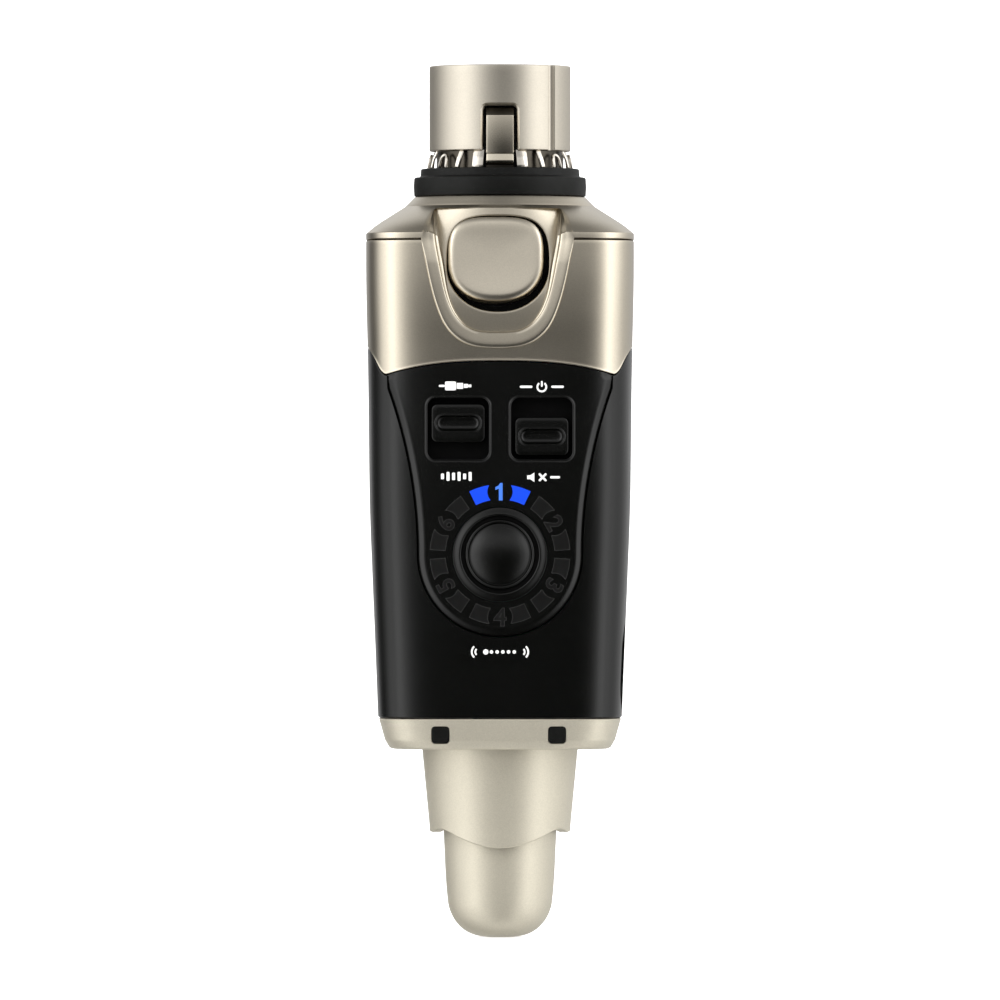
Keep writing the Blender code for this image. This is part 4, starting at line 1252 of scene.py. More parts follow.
SCREWS = ((-11.4, -44.5), (11.4, -44.5), (-10.9, -60.5), (10.9, -60.5))
BOSS = ((0.0, 7.7), (2.0, 7.7), (2.0, 12.1), (0.0, 12.1))
WELL = (
    (0.0, 17.0), (2.1, 17.0), (2.1, 14.1), (1.75, 13.6), (1.75, 11.5), (0.95, 11.5),
    (0.95, 7.0), (0.0, 7.0),
)


def back_flattener():
    """Cuts the rear shell to a flat, slightly tilted back."""
    top, foot = half_width(-38.0), half_width(-73.6)
    tilt = math.atan2(top - foot, 35.6)
    back_y = (top + foot) / 2.0 - 0.4
    cos, sin = math.cos(tilt), math.sin(tilt)
    rings = []
    for out in (0.0, 8.0):
        rings.append([
            (x, back_y + out * cos + up * sin, -55.8 + up * cos - out * sin)
            for x, up in rounded_rect(0.0, 0.0, 30.0, 40.0, 0.5, 2)
        ])
    return skin("flat_tool", rings)


def rear_shell():
    rear = half_shell("rear_half", 0.65, 1)
    bosses, wells = [], []
    for number, (x, z) in enumerate(SCREWS, 1):
        where = rear_facing(x, 0.0, z)
        bosses.append(lathe(f"boss_{number}", BOSS, BLACK, steps=48, matrix=where, cutter=True))
        wells.append(lathe(f"screw_well_{number}", WELL, steps=48, matrix=where))
    cut(rear, *bosses, operation="UNION", angle=30.0)
    cut(rear, *wells, back_flattener(), angle=30.0)
    settle(rear, 0.12)
    stand_for(rear, "housing", "black_plastic", "rear_cover")


rear_shell()

screw_profile = rounded(
    [
        (0.0, 0.8), (1.15, 0.78), (1.5, 0.5), (1.5, 0.0), (0.65, 0.0), (0.65, -7.0), (0.0, -7.5),
    ],
    0.1,
    3,
    closed=False,
)
for number, (x, z) in enumerate(SCREWS, 1):
    where = rear_facing(x, 11.8, z)
    screw = lathe(f"back_screw_{number}", screw_profile, STEEL, steps=48, matrix=where)
    crosses = []
    for turn in (0.0, math.pi / 2.0):
        drive = where @ Matrix.Rotation(turn + 0.3 * number, 4, "Z")
        rings = []
        for grow, height in ((-0.08, 0.2), (0.0, 0.35), (0.02, 1.2)):
            long, wide = 0.75 + grow, 0.14 + grow
            loop = [(-long, -wide), (long, -wide), (long, wide), (-long, wide)]
            rings.append(layer(drive, loop, height))
        crosses.append(skin(f"drive_{number}", rings))
    cut(screw, *crosses)
    stand_for(screw, "housing", "spring_steel", f"rear_screw_{number}")

# ---------------------------------------------------------------- control panel
PANEL_X, PANEL_Z = 0.0, -49.0
SWITCH_X, SWITCH_Z = 4.69, -41.16
SWITCH_HALF, SWITCH_CORNER = 3.44, 0.95
# Panel rim: distance from the outline, lift off the skin.
RIM = (
    (0.0, -0.40), (0.03, -0.33), (0.08, -0.29), (0.25, -0.22), (0.45, -0.135), (0.62, -0.06),
    (0.74, -0.015), (0.84, 0.0), (0.95, 0.012), (1.1, 0.0),
)
RING_INSETS = (
    0.0, 0.02, 0.05, 0.09, 0.16, 0.25, 0.35, 0.45, 0.54, 0.62, 0.7, 0.77, 0.84, 0.9, 0.98,
    1.08, 1.2, 1.35, 1.5, 1.7, 1.95, 2.3, 2.8,
)
# Cross-section of the trim round a switch: outward, lift.
TRIM = (
    (0.0, -0.9), (0.0, 0.06), (0.03, 0.12), (0.09, 0.155), (0.16, 0.155), (0.22, 0.12),
    (0.28, 0.05), (0.36, -0.03), (0.36, -0.5), (0.2, -0.9),
)


def to_outline(points, outline):
    """How far each point lies from the panel's outline, its crest left out."""
    start = np.array(outline, float)
    end = np.roll(start, -1, axis=0)
    # The crest along the silver cover has no rim.
    crest = (start[:, 1] > -35.4) & (np.abs(start[:, 0]) < 12.6)
    start, end = start[~crest], end[~crest]
    near = np.linalg.norm(end - start, axis=1) < 1.0
    start, end = start[near], end[near]
    points = np.array(points, float)
    best = np.full(len(points), 1e9)
    edge = end - start
    edge_squared = np.maximum((edge**2).sum(1), 1e-12)
    for i in range(0, len(points), 2000):
        away = points[i : i + 2000][:, None, :] - start[None]
        t = np.clip((away * edge[None]).sum(2) / edge_squared[None], 0.0, 1.0)
        best[i : i + 2000] = np.linalg.norm(away - t[..., None] * edge[None], axis=2).min(1)
    return best


def toward_middle(x, z, share):
    return PANEL_X + (x - PANEL_X) * share, PANEL_Z + (z - PANEL_Z) * share


def panel_plate():
    """The plate: an outer wall, a rimmed front and a back that follows the skin."""
    outline = shield_loop()
    count = len(outline)
    front_rings = []
    for inset in RING_INSETS:
        front_rings.append([
            toward_middle(x, z, 1.0 - inset / math.hypot(x - PANEL_X, z - PANEL_Z))
            for x, z in outline
        ])
    innermost = front_rings[-1]
    for k in range(1, 30):
        front_rings.append([toward_middle(x, z, 1.0 - k / 30.0) for x, z in innermost])
    flat = [point for ring in front_rings for point in ring]
    lifts = np.interp(to_outline(flat, outline), *zip(*RIM))
    verts = [(x, face_y(x, z) + 0.62, z) for x, z in outline]
    verts += [(x, face_y(x, z) - lift, z) for (x, z), lift in zip(flat, lifts)]
    faces = strips([verts[i : i + count] for i in range(0, len(verts), count)])
    centre = len(verts)
    verts.append((PANEL_X, face_y(PANEL_X, PANEL_Z), PANEL_Z))
    faces += fan(centre - count, centre, count)

    back_start = len(verts)
    back_rings = []
    for k in range(12):
        ring = [toward_middle(x, z, 1.0 - k / 12.0) for x, z in outline]
        back_rings.append([(x, face_y(x, z) + 1.2, z) for x, z in ring])
    verts += [point for ring in back_rings for point in ring]
    faces += strips(back_rings, first=back_start)
    for i in range(count):
        j = (i + 1) % count
        faces.append((i, j, back_start + j, back_start + i))
    centre = len(verts)
    verts.append((PANEL_X, face_y(PANEL_X, PANEL_Z) + 1.2, PANEL_Z))
    faces += fan(centre - count, centre, count)
    return make("control_panel", verts, faces, [BLACK], angle=30.0)


def switch_loop(side, steps):
    half = SWITCH_HALF
    return rounded_rect(side * SWITCH_X, SWITCH_Z, half, half, SWITCH_CORNER, steps)


def control_panel():
    plate = panel_plate()
    tools = []
    for side in (-1, 1):
        tools.append(prism(f"window_tool_{side}", switch_loop(side, 10), 7.0, 20.0, front()))
    hole = [(0.0, 20.0), (5.35, 20.0), (5.35, 7.0), (0.0, 7.0)]
    tools.append(lathe("dial_tool", hole, steps=96, matrix=front(0.0, 0.0, DIAL_Z)))
    cut(plate, *tools, angle=30.0)
    parts = [plate]
    for side in (-1, 1):
        rings = []
        for grow, lift in TRIM:
            loop = offset(switch_loop(side, 12), -grow)
            rings.append([(x, face_y(x, z) - lift, z) for x, z in loop])
        parts.append(skin(f"trim_{side}", rings, BLACK, looped=True))
    panel = merge("control_panel", parts)
    shade(panel, 30.0)
    stand_for(panel, "housing", "black_plastic", "front_panel")


control_panel()

# ---------------------------------------------------------------- slide knobs
KNOB_UP, KNOB_TRAVEL = -40.52, 1.5
# Levels of inset, height.
GRIP_LEVELS = (
    (0.0, 12.7), (0.0, 14.22), (0.015, 14.3), (0.05, 14.37), (0.11, 14.42), (0.19, 14.45),
)
GROOVE_LEVELS = (
    (-0.25, 15.0), (-0.12, 14.46), (-0.02, 14.38), (0.05, 14.26), (0.12, 14.1), (0.28, 13.98),
    (0.5, 13.94),
)
SKIRT_LEVELS = ((0.1, 12.3), (0.0, 12.4), (0.0, 12.75), (0.1, 12.85))
# A thin lip round the groove: outward, height.
LIP = ((0.06, 14.3), (0.06, 14.46), (0.11, 14.5), (0.18, 14.5), (0.24, 14.46), (0.24, 14.3))
for tag, side, z in (("input", -1, KNOB_UP), ("power", 1, KNOB_UP - KNOB_TRAVEL)):
    where = front(side * SWITCH_X, 0.0, z)
    grip_loop = rounded_rect(0.0, 0.0, 3.04, 2.17, 0.72, 10)
    groove_loop = rounded_rect(0.0, 0.0, 2.43, 0.84, 0.83, 12)
    skirt_loop = rounded_rect(0.0, 0.0, 3.9, 4.6, 0.5, 6)
    grip = pillow(f"{tag}_grip", grip_loop, GRIP_LEVELS, BLACK, where, rows=6)
    cut(grip, pillow(f"{tag}_groove", groove_loop, GROOVE_LEVELS, None, where, rows=3), angle=30.0)
    skirt = pillow(f"{tag}_skirt", skirt_loop, SKIRT_LEVELS, DEEP, where, rows=4)
    rings = [layer(where, offset(groove_loop, -grow), height) for grow, height in LIP]
    lip = skin(f"{tag}_lip", rings, BLACK, looped=True)
    knob = merge(f"{tag}_slide_knob", [grip, lip, skirt])
    shade(knob, 30.0)
    stand_for(knob, f"{tag}_slider", "black_plastic", f"{tag}_switch_knob")

# ---------------------------------------------------------------- channel dial
# Profiles of radius, height.
DIAL_RING = (
    (5.32, 14.05), (5.3, 14.28), (5.12, 14.34), (4.92, 14.42), (4.72, 14.51), (4.54, 14.57),
    (4.4, 14.52), (4.34, 14.38),
)
DIAL_DOME = (
    (0.0, 15.03), (0.6, 15.01), (1.2, 14.945), (1.75, 14.84), (2.25, 14.7), (2.7, 14.53),
    (3.05, 14.37), (3.3, 14.25), (3.43, 14.21), (3.5, 14.29), (3.57, 14.42), (3.65, 14.5),
    (3.74, 14.52), (3.83, 14.47), (3.91, 14.36), (3.95, 14.2),
)
dial = front(0.0, 0.0, DIAL_Z)
ring_profile = spline(DIAL_RING, 5) + [(4.33, 13.2), (5.2, 13.2), (5.3, 13.9)]
dial_ring = lathe("dial_ring", ring_profile, BLACK, matrix=dial)
stand_for(dial_ring, "housing", "gloss_black", "channel_bezel")
dome_profile = spline(DIAL_DOME, 4) + [(3.95, 12.9), (4.7, 12.9), (4.7, 12.3), (0.0, 12.3)]
dial_button = lathe("dial_button", dome_profile, BLACK, matrix=dial)
stand_for(dial_button, "channel_button", "black_plastic", "channel_button")


def directed_edges(faces):
    return [pair for face in faces for pair in zip(face, face[1:] + face[:1])]


def relief(name, points, flat_faces, mat, lift, sink):
    """Flat outlines raised off the panel's skin, as a closed body."""
    count = len(points)
    verts = [(x, face_y(x, z) - lift, z) for x, z in points]
    verts += [(x, face_y(x, z) + sink, z) for x, z in points]
    faces = [tuple(face) for face in flat_faces]
    faces += [tuple(i + count for i in reversed(face)) for face in flat_faces]
    edges = dict.fromkeys(directed_edges(flat_faces))
    for start, end in edges:
        if (end, start) not in edges:
            faces.append((end, start, start + count, end + count))
    return make(name, verts, faces, [mat])


def flatten(name, curve, weld):
    """Points and faces of a filled 2D curve or text."""
    obj = bpy.data.objects.new(name, curve)
    bpy.context.scene.collection.objects.link(obj)
    graph = bpy.context.evaluated_depsgraph_get()
    mesh = bpy.data.meshes.new_from_object(obj.evaluated_get(graph), depsgraph=graph)
    editor = bmesh.new()
    editor.from_mesh(mesh)
    bmesh.ops.remove_doubles(editor, verts=editor.verts, dist=weld)
    editor.to_mesh(mesh)
    editor.free()
    points = [(vert.co.x, vert.co.y) for vert in mesh.vertices]
    faces = [list(poly.vertices) for poly in mesh.polygons]
    bpy.data.objects.remove(obj, do_unlink=True)
    return points, faces


def fill(loop):
    curve = bpy.data.curves.new("fill", "CURVE")
    curve.dimensions = "2D"
    curve.fill_mode = "BOTH"
    line = curve.splines.new("POLY")
    line.points.add(len(loop) - 1)
    for point, (x, y) in zip(line.points, loop):
        point.co = (x, y, 0.0, 1.0)
    line.use_cyclic_u = True
    return flatten("fill", curve, weld=1e-5)


def digit(text, turn, centre_x, centre_z):
    """Points and faces of a numeral, centred, turned and placed on the panel."""
    curve = bpy.data.curves.new("number", "FONT")
    curve.body = text
    curve.size = 2.72
    curve.resolution_u = 5
    curve.offset = 0.07
    curve.align_x = "CENTER"
    flat, faces = flatten("number", curve, weld=1e-4)
    xs, ys = zip(*flat)
    mid_x, mid_y = (min(xs) + max(xs)) / 2.0, (min(ys) + max(ys)) / 2.0
    cos, sin = math.cos(turn), math.sin(turn)
    points = []
    for x, y in flat:
        x, y = x - mid_x, y - mid_y
        points.append((centre_x + x * cos - y * sin, centre_z + x * sin + y * cos))
    return points, faces


def outlines_of(points, faces):
    """The closed border loops of a flat mesh."""
    directed = set()
    for pair in directed_edges(faces):
        directed.add(pair)
    follow = {}
    for start, end in directed:
        if (end, start) not in directed:
            follow[start] = end
    loops = []
    while follow:
        start = min(follow)
        loop = [start]
        after = follow.pop(start)
        while after != start and after in follow:
            loop.append(after)
            after = follow.pop(after)
        if len(loop) > 2:
            loops.append([points[i] for i in loop])
    return loops


def trace(name, loop, width):
    """A thin raised line along a closed outline."""
    inner, outer = offset(loop, width / 2.0), offset(loop, -width / 2.0)
    rings = []
    for path, lift in ((outer, -0.1), (outer, 0.035), (inner, 0.035), (inner, -0.1)):
        rings.append([(x, face_y(x, z) - lift, z) for x, z in path])
    return skin(name, rings, TRACE, looped=True)


RING_IN, RING_OUT, RING_MID = 6.15, 7.86, 7.03
GAP_RADIUS = 1.42  # clearing round each digit
WINDOW_END = math.radians(26.0)
# The lit "1": x, z from its middle.
FIGURE_ONE = (
    (-0.13, -0.98), (0.29, -0.98), (0.29, 0.98), (0.02, 0.98), (-0.18, 0.68), (-0.52, 0.52),
    (-0.52, 0.2), (-0.13, 0.34),
)


def window_loop(middle, side):
    """The ring window to one side of the digit at angle middle, clockwise from the top."""
    # The border of the digit's clearing, from the outer arc to the inner one.
    clear = []
    for k in range(13):
        angle = math.radians(58.0 - 116.0 * k / 12.0)
        x, y = GAP_RADIUS * math.cos(angle), RING_MID + GAP_RADIUS * math.sin(angle)
        if RING_IN + 0.02 < math.hypot(x, y) < RING_OUT - 0.02:
            clear.append((x, y))
    first, final = math.atan2(*clear[0]), math.atan2(*clear[-1])
    loop = list(clear)
    for radius, start, end in ((RING_IN, final, WINDOW_END), (RING_OUT, WINDOW_END, first)):
        for k in range(13):
            angle = start + (end - start) * k / 12.0
            loop.append((radius * math.sin(angle), radius * math.cos(angle)))
    cos, sin = math.cos(middle), math.sin(middle)
    placed = [(x * side * cos + y * sin, DIAL_Z - x * side * sin + y * cos) for x, y in loop]
    if side < 0:
        placed.reverse()
    return placed


def channel_marks(channel):
    """A channel's two windows and its digit; channel 1 is lit."""
    middle = math.radians(60.0 * (channel - 1))
    centre_x, centre_z = RING_MID * math.sin(middle), DIAL_Z + RING_MID * math.cos(middle)
    lit = channel == 1
    parts = []
    for side in (-1, 1):
        loop = window_loop(middle, side)
        parts.append(relief("window", *fill(loop), LIT if lit else WINDOW, lift=0.02, sink=0.25))
        if not lit:
            parts.append(trace("window_edge", loop, width=0.07))
    windows = merge(f"channel_window_{channel}", parts)
    stand_for(windows, "housing", "light_guide")
    if lit:
        flat = fill([(centre_x + x, centre_z + z) for x, z in FIGURE_ONE])
        number = relief("channel_number_1", *flat, LIT_NUMBER, lift=0.025, sink=0.25)
    else:
        # The 4, at the foot of the ring, stays upright.
        turn = 0.0 if channel == 4 else -middle
        flat = digit(str(channel), turn, centre_x, centre_z)
        parts = [relief("number", *flat, WINDOW, lift=0.02, sink=0.2)]
        parts += [trace("number_edge", loop, width=0.06) for loop in outlines_of(*flat)]
        number = merge(f"channel_number_{channel}", parts)
    stand_for(number, "housing", "light_guide")


for channel in range(1, 7):
    channel_marks(channel)


# ---------------------------------------------------------------- printed symbols
def circle(x, z, radius, count, start=0.0, end=360.0):
    """Points round a circle, or along an arc with both its ends."""
    points = []
    for k in range(count + (0 if end - start >= 360.0 else 1)):
        angle = math.radians(start + (end - start) * k / count)
        points.append((x + radius * math.cos(angle), z + radius * math.sin(angle)))
    return points


def arc_band(x, z, radius, width, start, end, count=24):
    outer = circle(x, z, radius + width / 2.0, count, start, end)
    inner = circle(x, z, radius - width / 2.0, count, start, end)
    return outer + list(reversed(inner))


def capsule(x0, z0, x1, z1, radius):
    """A straight stroke with round ends."""
    lean = math.atan2(z1 - z0, x1 - x0)
    out = []
    for x, z, start in ((x1, z1, -90.0), (x0, z0, 90.0)):
        for k in range(9):
            angle = lean + math.radians(start + 180.0 * k / 8)
            out.append((x + radius * math.cos(angle), z + radius * math.sin(angle)))
    return out


def symbol(name, loops):
    parts = [relief("print", *fill(loop), PRINT, lift=0.018, sink=0.06) for loop in loops]
    stand_for(merge(name, parts), "housing", "black_plastic")


# Jack plug over the left switch.
z = -36.35
symbol(
    "print_jack",
    [
        rounded_rect(-5.55, z, 0.62, 0.5, 0.16, 4),
        rounded_rect(-4.5, z, 0.36, 0.33, 0.06, 3),
        rounded_rect(-3.83, z, 0.24, 0.22, 0.05, 3),
        rounded_rect(-3.38, z, 0.17, 0.15, 0.05, 3),
        capsule(-6.3, z, -6.75, z, 0.12),
    ],
)
# Power symbol over the right switch, between two short rules.
z = -36.45
symbol(
    "print_power",
    [
        arc_band(SWITCH_X, z - 0.02, 0.5, 0.2, 125.0, 415.0),
        capsule(SWITCH_X, z + 0.1, SWITCH_X, z + 0.55, 0.1),
        capsule(2.35, z, 3.5, z, 0.13),
        capsule(5.88, z, 7.03, z, 0.13),
    ],
)
# Level bars under the left switch.
symbol(
    "print_levels",
    [
        rounded_rect(-6.45 + 0.62 * k, -46.5, 0.17, tall, 0.1, 4)
        for k, tall in enumerate((0.32, 0.5, 0.42, 0.5, 0.32, 0.5))
    ],
)
# Loudspeaker, cross and short rule under the right switch.
z = -46.6
speaker = [(3.05, -0.22), (3.4, -0.22), (3.85, -0.52), (3.85, 0.52), (3.4, 0.22), (3.05, 0.22)]
symbol(
    "print_silent",
    [
        [(x, z + up) for x, up in speaker],
        capsule(4.45, z - 0.33, 5.11, z + 0.33, 0.12),
        capsule(4.45, z + 0.33, 4.72, z + 0.06, 0.12),
        capsule(4.84, z - 0.06, 5.11, z - 0.33, 0.12),
        capsule(5.75, z, 6.6, z, 0.13),
    ],
)
# Six dots between two pairs of waves, under the dial.
z = -66.2
marks = [circle(-1.6 + 0.64 * k, z, 0.2 if k else 0.3, 20) for k in range(6)]
for x, start in ((-2.35, 132.0), (2.35, -48.0)):
    for radius in (0.42, 0.82):
        marks.append(arc_band(x, z, radius, 0.19, start, start + 96.0, 12))
symbol("print_channels", marks)

# ---------------------------------------------------------------- collar
# Rings of half-width, power, z, front drop: the top, then the underside and inside.
COLLAR_TOP = (
    (12.1, 5.2, -73.72, 0.1), (12.85, 5.2, -73.72, 0.1), (13.5, 5.2, -73.74, 0.1),
    (13.62, 5.2, -73.78, 0.1), (13.67, 5.2, -73.88, 0.1),
)
COLLAR_UNDER = (
    (12.0, 4.9, -77.2, 0.05), (11.2, 4.2, -77.2, 0.05), (10.4, 3.2, -77.2, 0.05),
    (9.7, 2.3, -77.2, 0.05), (9.3, 2.0, -77.2, 0.05), (9.18, 2.0, -77.14, 0.0),
    (9.18, 2.0, -76.35, 0.0), (10.4, 3.2, -76.3, 0.05), (11.6, 4.9, -76.3, 0.05),
    (12.1, 5.2, -75.9, 0.1),
)
collar_side = rounded(
    [(13.66, -73.95), (13.02, -76.2), (12.45, -77.2), (9.15, -77.2)],
    [0.1, 0.9, 0.55, 0.05],
    6,
    closed=False,
)
rings = [section(*station) for station in COLLAR_TOP]
for size, z in collar_side[1:-1]:
    power = float(np.interp(z, [-77.2, -77.1, -76.9, -73.9], [4.9, 5.1, 5.2, 5.2]))
    rings.append(section(size, power, z, 0.1))
rings += [section(*station) for station in COLLAR_UNDER]
collar = skin("lower_collar", rings, PAINT, looped=True, angle=30.0)
PLUG_SPREAD, PLUG_SHIFT, PLUG_Z = 6.55, -0.14, -75.56
tools = []
for side in (-1, 1):
    loop = rounded_rect(side * PLUG_SPREAD + PLUG_SHIFT, PLUG_Z, 1.03, 0.99, 0.44)
    tools.append(prism(f"plug_tool_{side}", loop, 11.0, 15.0, front()))
cut(collar, *tools, angle=30.0)
settle(collar, 0.07)
stand_for(collar, "housing", "champagne_paint", "bottom_collar")
for number, side in ((1, -1), (2, 1)):
    plug = pillow(
        f"screw_plug_{number}",
        rounded_rect(0.0, 0.0, 0.99, 0.95, 0.4),
        [(0.05, -0.55), (0.0, -0.45), (0.0, -0.1), (0.04, -0.03), (0.12, 0.0)],
        RUBBER,
        front(side * PLUG_SPREAD + PLUG_SHIFT, -13.07, PLUG_Z, -math.atan2(0.64, 2.2)),
        dish=0.04,
        rows=5,
    )
    stand_for(plug, "housing", "black_rubber", f"collar_plug_{number}")

# ---------------------------------------------------------------- antenna sleeve
HEM_HALF = 5.4  # half-width of the hem's deep middle
# The hem beyond it: x, z.
HEM_SIDE = (
    (5.4, -86.87), (5.75, -86.7), (6.1, -86.54), (6.4, -86.42), (6.7, -86.36), (7.0, -86.38),
    (7.25, -86.5), (7.5, -86.68), (7.75, -86.76), (8.1, -86.66),
)
SLEEVE_STEPS = 288


def hem_z(x):
    x = abs(x)
    if x <= HEM_HALF:
        return -88.43 + 1.56 * (x / HEM_HALF) ** 1.9
    return float(np.interp(x, *zip(*HEM_SIDE)))


def sleeve_radius(z):
    return float(np.interp(z, [-90.0, -86.0, -77.0, -75.6], [7.9, 7.99, 8.85, 8.86]))


def sleeve_line(angle):
    """One closed cut through the sleeve: (x, y, z) from its top flange round the hem."""
    cos, sin = math.cos(angle), math.sin(angle)
    z_end = -86.7
    for _ in range(3):
        z_end = hem_z(cos * sleeve_radius(z_end))
    line = [
        (7.5, -74.6), (9.85, -74.6), (9.9, -74.65), (9.9, -75.55), (9.85, -75.6),
        (8.87, -75.6), (8.86, -75.7),
    ]
    for k in range(1, 27):
        t = k / 26
        z = -75.7 * (1 - t) + (z_end + 0.1) * t
        line.append((sleeve_radius(z), z))
    end = sleeve_radius(z_end)
    line += [(end - 0.03, z_end + 0.05), (end - 0.08, z_end + 0.015), (end - 0.16, z_end)]
    line += [(7.0, z_end), (6.98, z_end + 0.05)]
    for k in range(1, 6):
        t = k / 6
        z = z_end * (1 - t) - 75.0 * t
        line.append((float(np.interp(z, [-90.0, -82.0, -74.6], [6.9, 7.1, 7.5])), z))
    return [(radius * cos, radius * sin, z) for radius, z in line]


rings = [sleeve_line(math.tau * k / SLEEVE_STEPS) for k in range(SLEEVE_STEPS)]
sleeve = skin("stub_sleeve", rings, PAINT, looped=True, angle=30.0)
stand_for(sleeve, "housing", "champagne_paint", "antenna_sleeve")

# ---------------------------------------------------------------- antenna stub
TIP_RADIUS, TIP_Z, TIP_LENGTH = 5.92, -94.5, 4.2
# Profiles of radius, z: up the inside, then down the outside to the rounded tip.
STUB_INSIDE = [(0.0, -97.4), (2.0, -97.3), (3.3, -96.9), (4.6, -94.5), (5.3, -86.0), (5.4, -80.0)]
STUB_OUTSIDE = (
    (6.52, -80.0), (6.47, -83.0), (6.42, -86.0), (6.31, -88.5), (6.2, -91.0), (6.07, -93.0),
    (TIP_RADIUS, TIP_Z),
)
stub_profile = STUB_INSIDE + spline(STUB_OUTSIDE, 4)
for k in range(1, 16):
    angle = math.radians(90.0 * k / 16)
    z = TIP_Z - TIP_LENGTH * math.sin(angle) ** 1.25
    stub_profile.append((TIP_RADIUS * math.cos(angle) ** 0.62, z))
stub_profile.append((0.0, TIP_Z - TIP_LENGTH))
stub = lathe("stub_cap", stub_profile, PAINT, steps=224, angle=40.0)
stand_for(stub, "housing", "champagne_paint", "antenna_cap")

# ---------------------------------------------------------------- pieces kept from the frame
# They keep their form, with rounded edges: width, node names.
KEPT = (
    (0.3, ("battery_cell",)),
    (0.2, ("input_switch_body", "power_switch_body")),
    (0.18, ("usb_socket",)),
    (0.15, ("latch_bracket", "tact_switch", "radio_shield")),
    (0.12, ("usb_port_frame",)),
    (0.1, ("input_switch_actuator", "power_switch_actuator", "channel_light_guide")),
    (0.08, ("controller_chip", "converter_chip")),
    (0.08, [f"channel_led_{number}" for number in range(1, 7)]),
    (0.06, ("main_board", "contact_board", "antenna_board")),
)
for width, names in KEPT:
    for name in names:
        settle(frame["nodes"][name], width, 50.0)

# ---------------------------------------------------------------- studio floor (metres)
FLOOR_RADIUS, FLOOR_BEND = 2.1, 1.0
floor_z = keep[0].z


def studio_floor():
    """A pale floor that curves up into a round wall."""
    bowl = [(radius, 0.0) for radius in (0.0, 0.05, 0.2, 0.6, 1.4, FLOOR_RADIUS)]
    for k in range(1, 13):
        angle = math.pi / 2 * k / 12
        radius = FLOOR_RADIUS + FLOOR_BEND * math.sin(angle)
        bowl.append((radius, FLOOR_BEND * (1 - math.cos(angle))))
    bowl += [(3.1, 2.0), (3.1, 3.2)]
    verts, faces = revolve([(radius, floor_z + height) for radius, height in bowl], 96)
    mat = bpy.data.materials.new("studio_white")
    mat.use_nodes = True
    shader = mat.node_tree.nodes["Principled BSDF"]
    shader.inputs["Base Color"].default_value = (0.9, 0.9, 0.9, 1.0)
    shader.inputs["Roughness"].default_value = 0.9
    shader.inputs["Specular IOR Level"].default_value = 0.0
    shader.inputs["Emission Color"].default_value = (1.0, 1.0, 1.0, 1.0)
    shader.inputs["Emission Strength"].default_value = 0.55
    mesh = bpy.data.meshes.new("studio_floor")
    mesh.from_pydata(verts, [], faces)
    mesh.materials.append(mat)
    mesh.shade_smooth()
    obj = bpy.data.objects.new("studio_floor", mesh)
    bpy.context.scene.collection.objects.link(obj)
    obj.visible_glossy = False


studio_floor()


# ---------------------------------------------------------------- lights
def softbox(name, azimuth, elevation, distance, width, height, power, aim):
    """An area light; azimuth is in degrees from the front toward +X."""
    light = bpy.data.lights.new(name, "AREA")
    light.shape = "RECTANGLE"
    light.size, light.size_y = width, height
    light.energy = power
    obj = bpy.data.objects.new(name, light)
    turn, rise = math.radians(azimuth), math.radians(elevation)
    level = math.cos(rise)
    toward = Vector((math.sin(turn) * level, -math.cos(turn) * level, math.sin(rise)))
    obj.location = aim + toward * distance
    obj.rotation_mode = "QUATERNION"
    obj.rotation_quaternion = (aim - obj.location).to_track_quat("-Z", "Y")
    obj.visible_camera = False
    bpy.context.scene.collection.objects.link(obj)


for name, azimuth in (("box_left", -58.0), ("box_right", 60.0)):
    softbox(
        name, azimuth, elevation=2.0, distance=1.0, width=0.34, height=1.6, power=1.2,
        aim=Vector((0.0, 0.0, -0.045)),
    )

# ---------------------------------------------------------------- world
# Two tall bright sides, a dark front and a soft top, as degrees, brightness.
# AROUND and BEHIND run by azimuth from the front, SIDES and ABOVE by elevation.
# AROUND is multiplied by SIDES, ABOVE by BEHIND, and the two are added.
AROUND = (
    (-180, 0.60), (-165, 0.60), (-148, 0.12), (-128, 0.06), (-112, 0.32), (-98, 1.00),
    (-86, 1.40), (-66, 1.55), (-48, 1.50), (-38, 1.15), (-30, 0.54), (-20, 0.20), (-6, 0.06),
    (4, 0.03), (20, 0.03), (32, 0.16), (41, 0.60), (50, 1.30), (70, 1.70), (86, 1.50),
    (98, 1.05), (115, 0.75), (145, 0.60), (180, 0.50),
)
SIDES = (
    (-90, 0.3), (-50, 0.7), (-25, 1.0), (20, 1.0), (35, 0.75), (50, 0.38), (65, 0.15), (90, 0.0),
)
ABOVE = (
    (-90, 0.9), (-80, 0.6), (-70, 0.1), (-46, 0.03), (-25, 0.01), (-8, 0.0), (0, 0.02),
    (8, 0.25), (17, 0.72), (30, 0.8), (45, 0.55), (60, 0.33), (90, 0.22),
)
BEHIND = ((-180, 0.5), (-140, 0.5), (-105, 1.0), (105, 1.0), (140, 0.5), (180, 0.5))
RAMP_TOP = 4.0  # brightness of a full ramp

world = bpy.data.worlds.new("studio")
world.use_nodes = True
sky_nodes, sky_links = world.node_tree.nodes, world.node_tree.links


def sky(operation, *inputs):
    """A math node fed by numbers or sockets."""
    node = sky_nodes.new("ShaderNodeMath")
    node.operation = operation
    for socket, value in zip(node.inputs, inputs):
        if isinstance(value, (int, float)):
            socket.default_value = value
        else:
            sky_links.new(value, socket)
    return node.outputs[0]


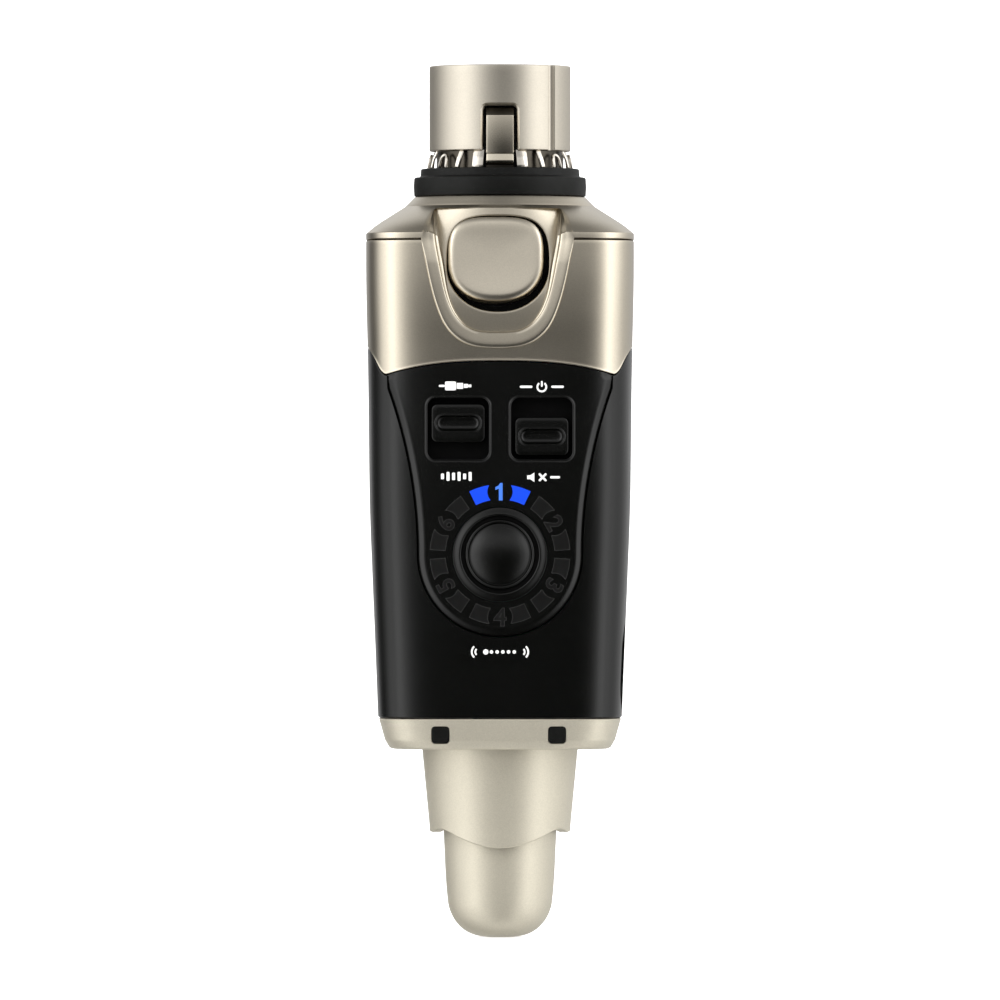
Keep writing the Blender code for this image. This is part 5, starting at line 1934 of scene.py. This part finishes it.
def sky_ramp(value, stops, span):
    """Brightness by angle, for stops between -span and span degrees."""
    node = sky_nodes.new("ShaderNodeValToRGB")
    elements = node.color_ramp.elements
    node.color_ramp.interpolation = "LINEAR"
    while len(elements) < len(stops):
        elements.new(0.5)
    for i, (degrees, brightness) in enumerate(stops):
        grey = brightness / RAMP_TOP
        elements[i].position = (degrees + span) / (2.0 * span)
        elements[i].color = (grey, grey, grey, 1.0)
    sky_links.new(value, node.inputs[0])
    return sky("MULTIPLY", node.outputs[0], RAMP_TOP)


looking = sky_nodes.new("ShaderNodeTexCoord")
split = sky_nodes.new("ShaderNodeSeparateXYZ")
sky_links.new(looking.outputs["Generated"], split.inputs[0])
turn = sky("ARCTAN2", split.outputs["X"], sky("MULTIPLY", split.outputs["Y"], -1.0))
azimuth = sky("ADD", sky("DIVIDE", turn, math.tau), 0.5)
height = sky("ADD", sky("DIVIDE", sky("ARCSINE", split.outputs["Z"]), math.pi), 0.5)
walls = sky("MULTIPLY", sky_ramp(azimuth, AROUND, 180.0), sky_ramp(height, SIDES, 90.0))
ceiling = sky("MULTIPLY", sky_ramp(height, ABOVE, 90.0), sky_ramp(azimuth, BEHIND, 180.0))
background = sky_nodes["Background"]
sky_links.new(sky("ADD", walls, ceiling), background.inputs["Strength"])
background.inputs["Color"].default_value = (1.0, 1.0, 1.0, 1.0)
bpy.context.scene.world = world
bpy.context.scene.view_settings.view_transform = "Standard"

# ---------------------------------------------------------------- camera
SENSOR = 36.0
CAMERA_DISTANCE, VIEW_SIZE = 1.35, 0.1134  # VIEW_SIZE is what the sensor's width takes in
camera = bpy.data.cameras.new("camera")
camera.sensor_width = SENSOR
camera.lens = SENSOR * CAMERA_DISTANCE / VIEW_SIZE
camera.clip_start, camera.clip_end = 0.05, 20.0
viewer = bpy.data.objects.new("camera", camera)
viewer.location = (0.0, -CAMERA_DISTANCE, -0.04915)
viewer.rotation_euler = (math.pi / 2.0, 0.0, 0.0)
bpy.context.scene.collection.objects.link(viewer)
bpy.context.scene.camera = viewer
